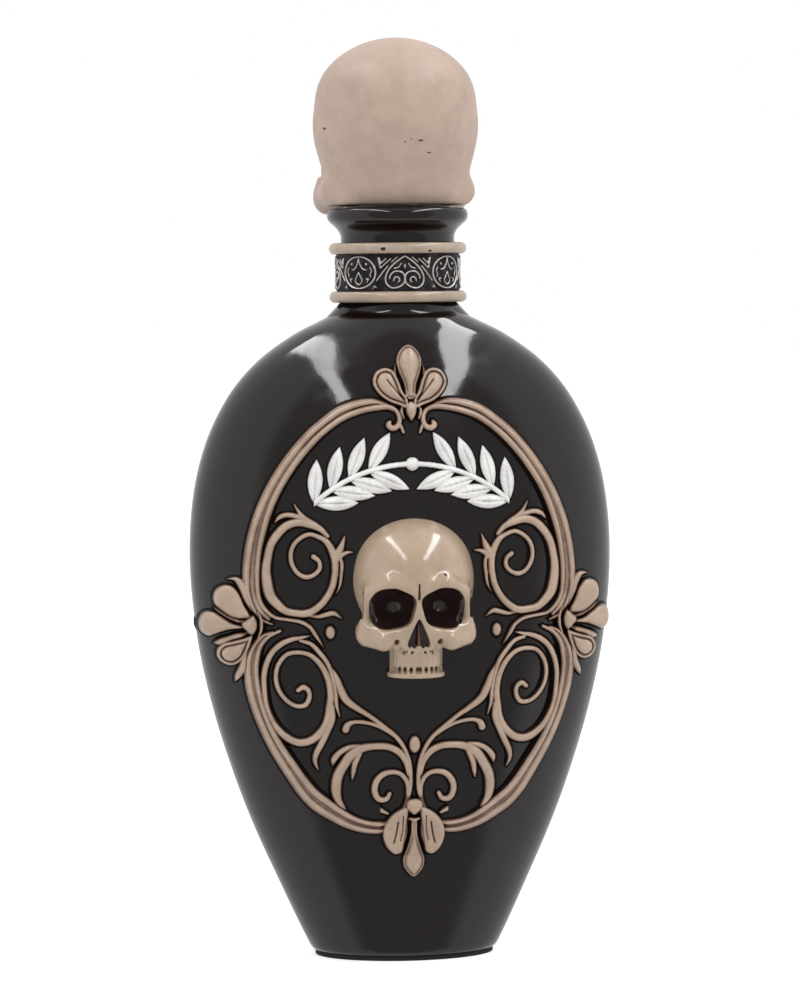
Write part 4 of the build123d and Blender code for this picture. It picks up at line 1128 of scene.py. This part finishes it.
# Darker along the veins, and painted shade where each leaf meets the body
garland_wash_and_shade = 0.9 * veins[rows, columns] + np.clip(1.2 - grown / 0.4, 0, 1)
garland_wash_and_shade = np.clip(garland_wash_and_shade, 0, 1).astype(np.float32)
garland_piece.data.attributes["wash"].data.foreach_set("value", garland_wash_and_shade)
white_look = old_bone(
    "white paint", (0.80, 0.785, 0.77, 1), (0.20, 0.18, 0.17, 1), (0.006, 0.005, 0.005, 1),
    {"Roughness": 0.3}, (0.3, 0.62, 0.9),
)
dress(garland_piece, white_look, "white_paint", "bottle", "laurel_garland")


# Skulls
# Both skulls have no lower jaw. The small one on the front is half sunk in the body, glossy over a dark
# wash with painted shade in its hollows. The large one crowns the stopper, faces the back and is matt,
# with a brown wash and painted shade in its creases and dark chips in its paint.
medallion_unit = 11.9
medallion_height = 75.75
medallion_sink = 4.8
stopper_unit = 16.4
stopper_forward = 2.2
stopper_height = 163.9
flange_top = 148.1
skull_clearance = 0.4


def egg(place, centre, radii):
    """Distance from an egg, negative inside it. Places are arrays of x, y and z."""
    offsets = [(axis - middle) / radius for axis, middle, radius in zip(place, centre, radii)]
    reach = np.sqrt(sum(offset ** 2 for offset in offsets)) + 1e-6
    steep = np.sqrt(sum((offset / radius) ** 2 for offset, radius in zip(offsets, radii))) + 1e-6
    return reach * (reach - 1) / steep


def rod(place, start, end, start_radius, end_radius):
    """Distance from a rod with round ends that tapers from one radius to another."""
    along = np.array(end, float) - np.array(start, float)
    share = sum((axis - begin) * step for axis, begin, step in zip(place, start, along)) / (along @ along)
    share = np.clip(share, 0, 1)
    away = np.sqrt(sum((axis - begin - share * step) ** 2 for axis, begin, step in zip(place, start, along)))
    return away - (start_radius + share * (end_radius - start_radius))


def joined(first, second, blend):
    """Two forms as one, with a fillet between them."""
    overlap = np.maximum(blend - np.abs(first - second), 0) / blend
    return np.minimum(first, second) - overlap ** 2 * blend / 4


def cut_from(form, tool, blend):
    """A form with another taken out of it, with a softened rim."""
    return -joined(-form, tool, blend)


# Half outlines of the hollows, in cranium half widths
socket_shares = smooth_through([
    (0.775, -0.45), (0.765, -0.27), (0.64, -0.14), (0.5, -0.095), (0.36, -0.095), (0.22, -0.15),
    (0.1, -0.215), (0.045, -0.3), (0.075, -0.48), (0.13, -0.64), (0.2, -0.7), (0.35, -0.745),
    (0.55, -0.765), (0.71, -0.7),
], 4, True)
nose_shares = smooth_through([
    (0.0, -0.585), (0.05, -0.66), (0.1, -0.77), (0.15, -0.9), (0.178, -1.0), (0.15, -1.055), (0.11, -1.03),
    (0.075, -1.07), (0.03, -1.03), (-0.03, -1.03), (-0.05, -0.66),
], 3, True)


# Rods of the right half: start, end, their radii and the fillet, in cranium half widths. The ridges are the
# brow, the socket's outer rim, the cheekbone, its arch to the ear, the nose, and the knob behind the ear.
bone_ridge_shares = (
    ((0.1, -1.01, -0.11), (0.45, -0.98, -0.03), 0.09, 0.09, 0.2),
    ((0.45, -0.98, -0.03), (0.78, -0.77, -0.17), 0.09, 0.08, 0.18),
    ((0.83, -0.72, -0.2), (0.84, -0.66, -0.66), 0.07, 0.08, 0.08),
    ((0.79, -0.66, -0.89), (0.55, -0.84, -0.95), 0.165, 0.165, 0.12),
    ((0.8, -0.68, -0.76), (0.3, -0.95, -0.84), 0.1, 0.1, 0.1),
    ((0.8, -0.52, -0.82), (0.79, 0.25, -0.8), 0.16, 0.17, 0.15),
    ((0.0, -1.02, -0.24), (0.0, -1.08, -0.5), 0.05, 0.05, 0.07),
    ((0.0, -1.07, -0.48), (0.16, -0.96, -0.84), 0.05, 0.07, 0.08),
    ((0.6, 0.35, -0.9), (0.62, 0.3, -1.15), 0.2, 0.13, 0.15),
)
# Seams cut in the bone. Their places ahead are drawn at 0.3 of their size.
bone_seam_shares = (
    ((0.0, -0.335, -0.03), (0.0, -0.327, -0.26), 0.012, 0.02, 0.015),
    ((0.865, -0.225, -0.08), (0.88, -0.2, -0.58), 0.018, 0.026, 0.02),
    ((0.4, -0.22, -1.12), (0.41, -0.22, -1.36), 0.02, 0.02, 0.02),
)
# Pits beside the nose and over the teeth: their place across and up, and their radius
pit_shares = (
    (0.35, -0.965, 0.036), (0.3, -1.1, 0.05), (0.37, -1.075, 0.035), (0.235, -1.14, 0.03),
    (0.1, -1.13, 0.016), (0.19, -1.12, 0.014),
)
tooth_gaps = 6


def eye_hollows(place):
    """The eye sockets: bowls behind an outline that droops at its outer corner."""
    x, y, z = place
    bowl = 0.6 * np.clip(y + 0.92, 0, 1) ** 1.5
    behind = y + 0.5 + 2.6 * ((x - 0.4) ** 2 + (z + 0.42) ** 2)
    return np.maximum(-depth_inside(x, z, socket_shares) + bowl, behind)


def nose_hollow(place):
    """The opening of the nose: two slanted slots that meet above."""
    x, y, z = place
    return np.maximum(-depth_inside(x, z, nose_shares), y + 0.82)


def skull_field(place, crown):
    """Distance from a skull that faces -Y, in cranium half widths. The crown is the egg of its top."""
    x, y, z = np.abs(place[0]), place[1], place[2]
    place = (x, y, z)
    bone = joined(egg(place, (0, -0.12, 0), (1, 1, 1)), egg(place, (0, 0.2, 0), (0.98, 0.98, 0.98)), 0.2)
    bone = joined(bone, egg(place, *crown), 0.12)
    bone = joined(bone, egg(place, (0, 0.08, -0.42), (0.9, 0.9, 0.9)), 0.12)
    muzzle = np.maximum(0.43 * (np.hypot(x / 0.43, (y + 0.52) / 0.43) - 1), -1.5 - z)
    muzzle = np.maximum(muzzle, z + 0.7)
    face = joined(egg(place, (0, -0.62, -0.92), (0.44, 0.42, 0.4)), muzzle, 0.06)
    face = joined(face, egg(place, (0, -0.5, -0.5), (0.74, 0.6, 0.5)), 0.2)
    bone = joined(bone, face, 0.14)
    for start, end, start_radius, end_radius, blend in bone_ridge_shares:
        bone = joined(bone, rod(place, start, end, start_radius, end_radius), blend)
    bone = cut_from(bone, egg(place, (1.08, -0.62, -0.46), (0.14, 0.34, 0.26)), 0.08)
    bone = cut_from(bone, egg(place, (0.73, -0.72, -1.36), (0.28, 0.5, 0.22)), 0.07)
    bone = cut_from(bone, eye_hollows(place), 0.045)
    bone = cut_from(bone, nose_hollow(place), 0.03)
    bone = joined(bone, rod(place, (0.0, -0.94, -0.66), (0.0, -0.99, -1.02), 0.018, 0.026), 0.02)
    flat = (x, y * 0.3, z)
    for start, end, start_radius, end_radius, blend in bone_seam_shares:
        bone = cut_from(bone, rod(flat, start, end, start_radius, end_radius), blend)
    for across, up, radius in pit_shares:
        bone = cut_from(bone, egg(place, (across, -0.95, up), (radius, 0.12, radius * 1.5)), 0.02)
    # The row of teeth ends in one low band, and small gaps show where each tooth meets it
    curve = 0.455 * (np.hypot(x / 0.455, (y + 0.52) / 0.455) - 1)
    low_band = np.hypot(np.maximum(curve, 0), np.maximum(np.abs(z + 1.515) - 0.025, 0)) - 0.012
    bone = joined(bone, low_band, 0.02)
    for number in range(tooth_gaps):
        turn = 0.05 + number * 0.23
        across, ahead, up = 0.44 * sin(turn), -0.52 - 0.44 * cos(turn), -1.425
        taper = 1 - 6 * np.clip(z - up + 0.04, 0, 0.1)
        gap = egg((x - across, (y - ahead) * taper, z), (0, 0, up), (0.03, 0.09, 0.055))
        bone = cut_from(bone, gap, 0.012)
        bone = cut_from(bone, egg(place, (across, ahead, -1.24), (0.012, 0.014, 0.14)), 0.02)
    return bone


def surfaced(name, axes, field):
    """A closed skin where a field of distances is zero. The axes and the skin are in millimetres."""
    step = axes[0][1] - axes[0][0]
    volume = openvdb.FloatGrid(background=float(step * 3))
    volume.copyFromArray(np.ascontiguousarray(np.clip(field, -3 * step, 3 * step), np.float32))
    volume.transform = openvdb.createLinearTransform(voxelSize=float(step))
    points, quads = volume.convertToQuads(isovalue=0.0)
    points = points + np.array([axis[0] for axis in axes])
    mesh = bpy.data.meshes.new(name)
    mesh.from_pydata((points * mm).tolist(), [], quads.tolist())
    piece = bpy.data.objects.new(name, mesh)
    bpy.context.scene.collection.objects.link(piece)
    select_alone(piece)
    bpy.ops.object.mode_set(mode="EDIT")
    finish_edit()
    bpy.ops.object.shade_smooth()
    return piece, points


def skull_piece(name, unit, breadth, crown, step, room, trim):
    """A skull of one size, trimmed to its seat, with a wash and painted shade that lie in its hollows.

    The room is the range of places across, ahead and up that the skull fills, in cranium half widths.
    """
    axes = [np.arange(low * unit, high * unit, step) for low, high in room]
    grid = np.meshgrid(*axes, indexing="ij", sparse=True)
    field = skull_field([grid[0] / unit / breadth, grid[1] / unit, grid[2] / unit], crown) * unit
    field = trim(field, grid)
    piece, points = surfaced(name, axes, field)
    soft = blurred(field.astype(np.float32), max(2, round(0.05 * unit / step)))
    cells = tuple(nearest_cells(places, axis, step) for places, axis in zip(points.T, axes))
    hollow = -(soft - field)[cells] / unit
    x, y, z = np.abs(points[:, 0] / unit / breadth), points[:, 1] / unit, points[:, 2] / unit
    sockets = np.minimum(-depth_inside(x, z, socket_shares), -depth_inside(x, z, nose_shares))
    # The wash is painted shade as well as wash: it is high where the surface curves inward, in creases and
    # hollows
    paint_values(piece, "wash", np.clip(hollow * 26, 0, 1))
    # The sockets and their depth let the paint turn brown in the sockets and near black deep inside them, as
    # painted shade
    paint_values(piece, "sockets", np.clip(1 - (sockets + 0.012) / 0.02, 0, 1) * (y < -0.3))
    paint_values(piece, "depth", np.clip((y + 1.02) / 0.3, 0, 1))
    return piece


def place_piece(piece, back, up, facing):
    """Moves a piece's mesh back and up. A facing of -1 turns it about the upright, to the back."""
    co = np.zeros(len(piece.data.vertices) * 3)
    piece.data.vertices.foreach_get("co", co)
    co = co.reshape(-1, 3) * (facing, facing, 1) + (0, back * mm, up * mm)
    piece.data.vertices.foreach_set("co", co.ravel())
    piece.data.update()


medallion_front = float(body_front(0.0, medallion_height, 0.0))
medallion_back = medallion_sink - medallion_front


def trim_to_front(field, grid):
    """Keeps what stands out of the body's front, and a little behind its surface."""
    behind = grid[1] + medallion_back + body_front(grid[0], grid[2] + medallion_height, -0.8)
    return np.maximum(field, behind)


def trim_to_neck(field, grid):
    """Cuts the room that the lip and the flange of the stopper need."""
    radius = np.hypot(grid[0], grid[1] - stopper_forward)
    over = grid[2] - (flange_top - stopper_height)
    return np.maximum(field, -np.maximum(radius - lip_radius - skull_clearance, over))


fine_step = 0.18
medallion = skull_piece(
    "skull_medallion_dressed", medallion_unit, 1.0, ((0, 0.04, 0.27), (0.93, 1.06, 0.73)), fine_step,
    ((-1.1, 1.1), (-1.4, 0.35), (-1.65, 1.1)), trim_to_front,
)
place_piece(medallion, medallion_back, medallion_height, 1)
coarse_step = 0.34
stopper = skull_piece(
    "stopper_skull_dressed", stopper_unit, 0.965, ((0, 0.04, 0.36), (0.96, 1.06, 0.64)), coarse_step,
    ((-1.12, 1.12), (-1.4, 1.3), (-1.65, 1.1)), trim_to_neck,
)
place_piece(stopper, stopper_forward, stopper_height, -1)


def skull_look(name, light, brown, dark, constants, wash_and_shade_edge, chips):
    """Bone paint for a skull: a brown wash and painted shade in its creases, near-black painted shade deep in
    its eye and nose hollows, chipped in a few places.
    """
    look = Look(name, constants)
    cloud = look.noise(260, 5.0, 0.6)
    fine = look.noise(1500, 3.0)
    crease_wash_and_shade = look.between(look.painted("wash") + 0.3 * (cloud - 0.5), *wash_and_shade_edge)
    shade = tuple(0.86 * part for part in light[:3]) + (1,)
    paint = look.mixed(look.between(cloud, 0.3, 0.75), light, shade)
    washed_and_shaded = look.mixed(crease_wash_and_shade * 0.85, paint, brown)
    washed_and_shaded = look.mixed(chipped(look, chips, fine), washed_and_shaded, dark)
    sockets = look.painted("sockets")
    brown_wash_and_shade = look.mixed(look.between(sockets + 0.25 * (cloud - 0.5), 0.35, 0.9), washed_and_shaded, brown)
    # Painted shade: near black deep inside the eye and nose hollows
    deep_socket_shade = look.between(sockets * look.painted("depth"), 0.15, 0.75)
    look.give("Base Color", look.mixed(deep_socket_shade, brown_wash_and_shade, dark))
    look.bump(cloud * 0.5 + fine * 0.2, 0.1)
    return look


medallion_look = skull_look(
    "medallion bone", (0.42, 0.315, 0.225, 1), (0.10, 0.045, 0.028, 1), (0.02, 0.009, 0.008, 1),
    {"Roughness": 0.16, "Coat Weight": 0.4}, (0.16, 0.6), [((5.1, -30.0, 77.2), (0.35, 9.0, 0.25))],
)
dress(medallion, medallion_look, "medallion_bone", "bottle", "skull_medallion")
stopper_look = skull_look(
    "stopper bone", (0.46, 0.34, 0.275, 1), (0.20, 0.12, 0.08, 1), (0.03, 0.018, 0.014, 1),
    {"Roughness": 0.5}, (0.22, 0.8), [
        ((2.7, -14.0, 160.2), (0.75, 4.0, 0.28)), ((-0.3, -14.0, 160.0), (0.5, 4.0, 0.2)),
        ((0.9, -14.0, 160.5), (0.25, 4.0, 0.18)), ((-14.3, -6.0, 163.0), (1.2, 1.0, 0.3)),
        ((4.6, -13.6, 157.9), (0.5, 4.0, 0.15)),
    ],
)
dress(stopper, stopper_look, "stopper_bone", "stopper", "stopper_skull")


# Cork sleeve and peg
# The stopper is a plug of two pieces: a cork sleeve that seals in the neck, and a dark resin peg that
# turns in it. The peg's flange closes the mouth, and its spigot is glued in the large skull.
sleeve_radius = 9.16
sleeve_bore = 6.56
sleeve_bottom = 135.65
sleeve_top = 147.25
sleeve_round = 0.6
sleeve_sides = 96
cork = Look("pressed cork", {"Roughness": 0.85})
cork_cloud = cork.noise(380, 5.0, 0.7)
cork_grain = cork.node(
    "ShaderNodeTexVoronoi", {"feature": "F1"}, {"Vector": cork.place, "Scale": 900.0}, "Distance"
)
cork_tone = cork.mixed(cork_cloud, (0.34, 0.19, 0.09, 1), (0.56, 0.37, 0.20, 1))
cork_specks = cork.between(cork_cloud + 0.3 * cork_grain, 0.62, 0.78)
cork.give("Base Color", cork.mixed(cork_specks, cork_tone, (0.12, 0.06, 0.03, 1)))
cork.bump(cork_cloud + 0.4 * cork_grain, 0.25)
sleeve_rings = [
    (sleeve_bottom, sleeve_bore), (sleeve_bottom, sleeve_radius - 0.5),
    (sleeve_bottom + sleeve_round, sleeve_radius), (sleeve_top, sleeve_radius),
    (sleeve_top, sleeve_bore), (sleeve_bottom, sleeve_bore),
]
sleeve_rings = [(height, radius, radius) for height, radius in sleeve_rings]
sleeve = soften(turned("cork_sleeve_dressed", sleeve_rings, sleeve_sides, False), 0.12)
dress(sleeve, cork, "cork", "sleeve", "cork_sleeve")

peg_bottom = 134.3
plug_round = 0.3
plug_top = 135.5
plug_radius = 8.0
peg_radius = 6.51
flange_radius = 10.8
spigot_radius = 5.0
spigot_top = 157.1
peg_sides = 128
peg_rings = [
    (peg_bottom, plug_radius - 0.5), (peg_bottom + plug_round, plug_radius), (plug_top, plug_radius),
    (plug_top, peg_radius), (lip_top, peg_radius), (lip_top, flange_radius), (flange_top, flange_radius),
    (flange_top, spigot_radius), (spigot_top, spigot_radius),
]
peg_rings = [(height, radius, radius) for height, radius in peg_rings]
peg = soften(turned("stopper_peg_dressed", peg_rings, peg_sides, True), 0.15)
dress(peg, resin, "dark_resin", "stopper", "stopper_peg")


# Studio
# A pale floor in a white room, two long soft lamps overhead to the left and right, and the camera at the
# photograph's angle, a little to the left of the front.
camera_distance = 795.0
camera_height = 133.0
camera_turn = radians(-6.5)
camera_roll = radians(-0.55)
camera_lens = 145.3
camera_target = Vector((0.0, 0.0, 0.0902))
floor_size = 12.0
floor_glow = 0.45
room_front = 0.42
room_side = 0.86
front_edge = -0.66
side_edge = -0.48
lamp_height = 1.11

# Each lamp's two places across and two ahead, in metres, and its power in watts
strips = (
    ("left strip", (-0.66, -0.52), (-1.6, 0.6), 9.0),
    ("right strip", (0.55, 0.77), (-1.75, 0.4), 14.0),
)


def room_light(tree, direction):
    """The room's light: darker in front, where the camera and the photographer stand."""
    sockets = {"Value": direction, "From Min": front_edge, "From Max": side_edge}
    sockets.update({"To Min": room_front, "To Max": room_side})
    return tree.node("ShaderNodeMapRange", {"interpolation_type": "SMOOTHSTEP"}, sockets)


def strip_lamp(name, across, ahead, power):
    """A long soft lamp overhead that shines straight down."""
    middle = (sum(across) / 2, sum(ahead) / 2, lamp_height)
    bpy.ops.object.light_add(type="AREA", location=middle)
    lamp = bpy.context.object
    lamp.name = name
    lamp.data.shape = "RECTANGLE"
    lamp.data.size = across[1] - across[0]
    lamp.data.size_y = ahead[1] - ahead[0]
    lamp.data.energy = power
    return lamp


clear_selection()
bpy.ops.mesh.primitive_plane_add(size=floor_size, location=(0, 0, 0))
floor = bpy.context.object
floor.name = "floor"
floor_look = Look("pale floor", {"Base Color": (0.80, 0.80, 0.80, 1), "Roughness": 0.9})
seen = floor_look.node("ShaderNodeLightPath", {}, {}, "Is Camera Ray")
mirrored = floor_look.node("ShaderNodeLightPath", {}, {}, "Is Glossy Ray")
incoming = floor_look.node("ShaderNodeNewGeometry", {}, {}, "Incoming")
back = floor_look.node("ShaderNodeSeparateXYZ", {}, {0: incoming}, "Y")
glow = floor_look.node("ShaderNodeEmission", {}, {"Color": (1, 1, 1, 1), "Strength": floor_glow})
lit = floor_look.node("ShaderNodeAddShader", {}, {0: floor_look.painted_shader(), 1: glow})
mirror_light = floor_look.node("ShaderNodeEmission", {}, {"Strength": room_light(floor_look, 0 - back)})
plain = floor_look.blend(seen, floor_look.painted_shader(), lit)
floor_look.surface(floor_look.blend(mirrored, plain, mirror_light))
floor.data.materials.append(floor_look.material)

world = bpy.context.scene.world or bpy.data.worlds.new("room")
bpy.context.scene.world = world
world.use_nodes = True
room = Tree(world.node_tree)
room.nodes.clear()
place = room.node("ShaderNodeTexCoord", {}, {}, "Generated")
ahead = room.node("ShaderNodeSeparateXYZ", {}, {0: place}, "Y")
white = (1, 1, 1, 1)
plain_room = room.node("ShaderNodeBackground", {}, {"Color": white, "Strength": 1.0})
dim_room = room.node("ShaderNodeBackground", {}, {"Color": white, "Strength": room_light(room, ahead)})
seen = room.node("ShaderNodeLightPath", {}, {}, "Is Camera Ray")
output = room.nodes.new("ShaderNodeOutputWorld")
room.links.new(room.blend(seen, dim_room, plain_room).socket, output.inputs["Surface"])

lamps = [strip_lamp(*strip) for strip in strips]

away = (sin(camera_turn), -cos(camera_turn))
bpy.ops.object.camera_add(
    location=(camera_distance * away[0] * mm, camera_distance * away[1] * mm, camera_height * mm)
)
camera = bpy.context.object
camera.data.lens = camera_lens
camera.data.sensor_width = 36
camera.data.clip_start = 0.01
camera.data.dof.use_dof = False
camera_aim = (camera.location - camera_target).to_track_quat("Z", "Y")
camera.rotation_euler = (camera_aim @ Quaternion((0, 0, 1), camera_roll)).to_euler()
bpy.context.scene.camera = camera

bpy.context.scene.view_settings.view_transform = "Standard"
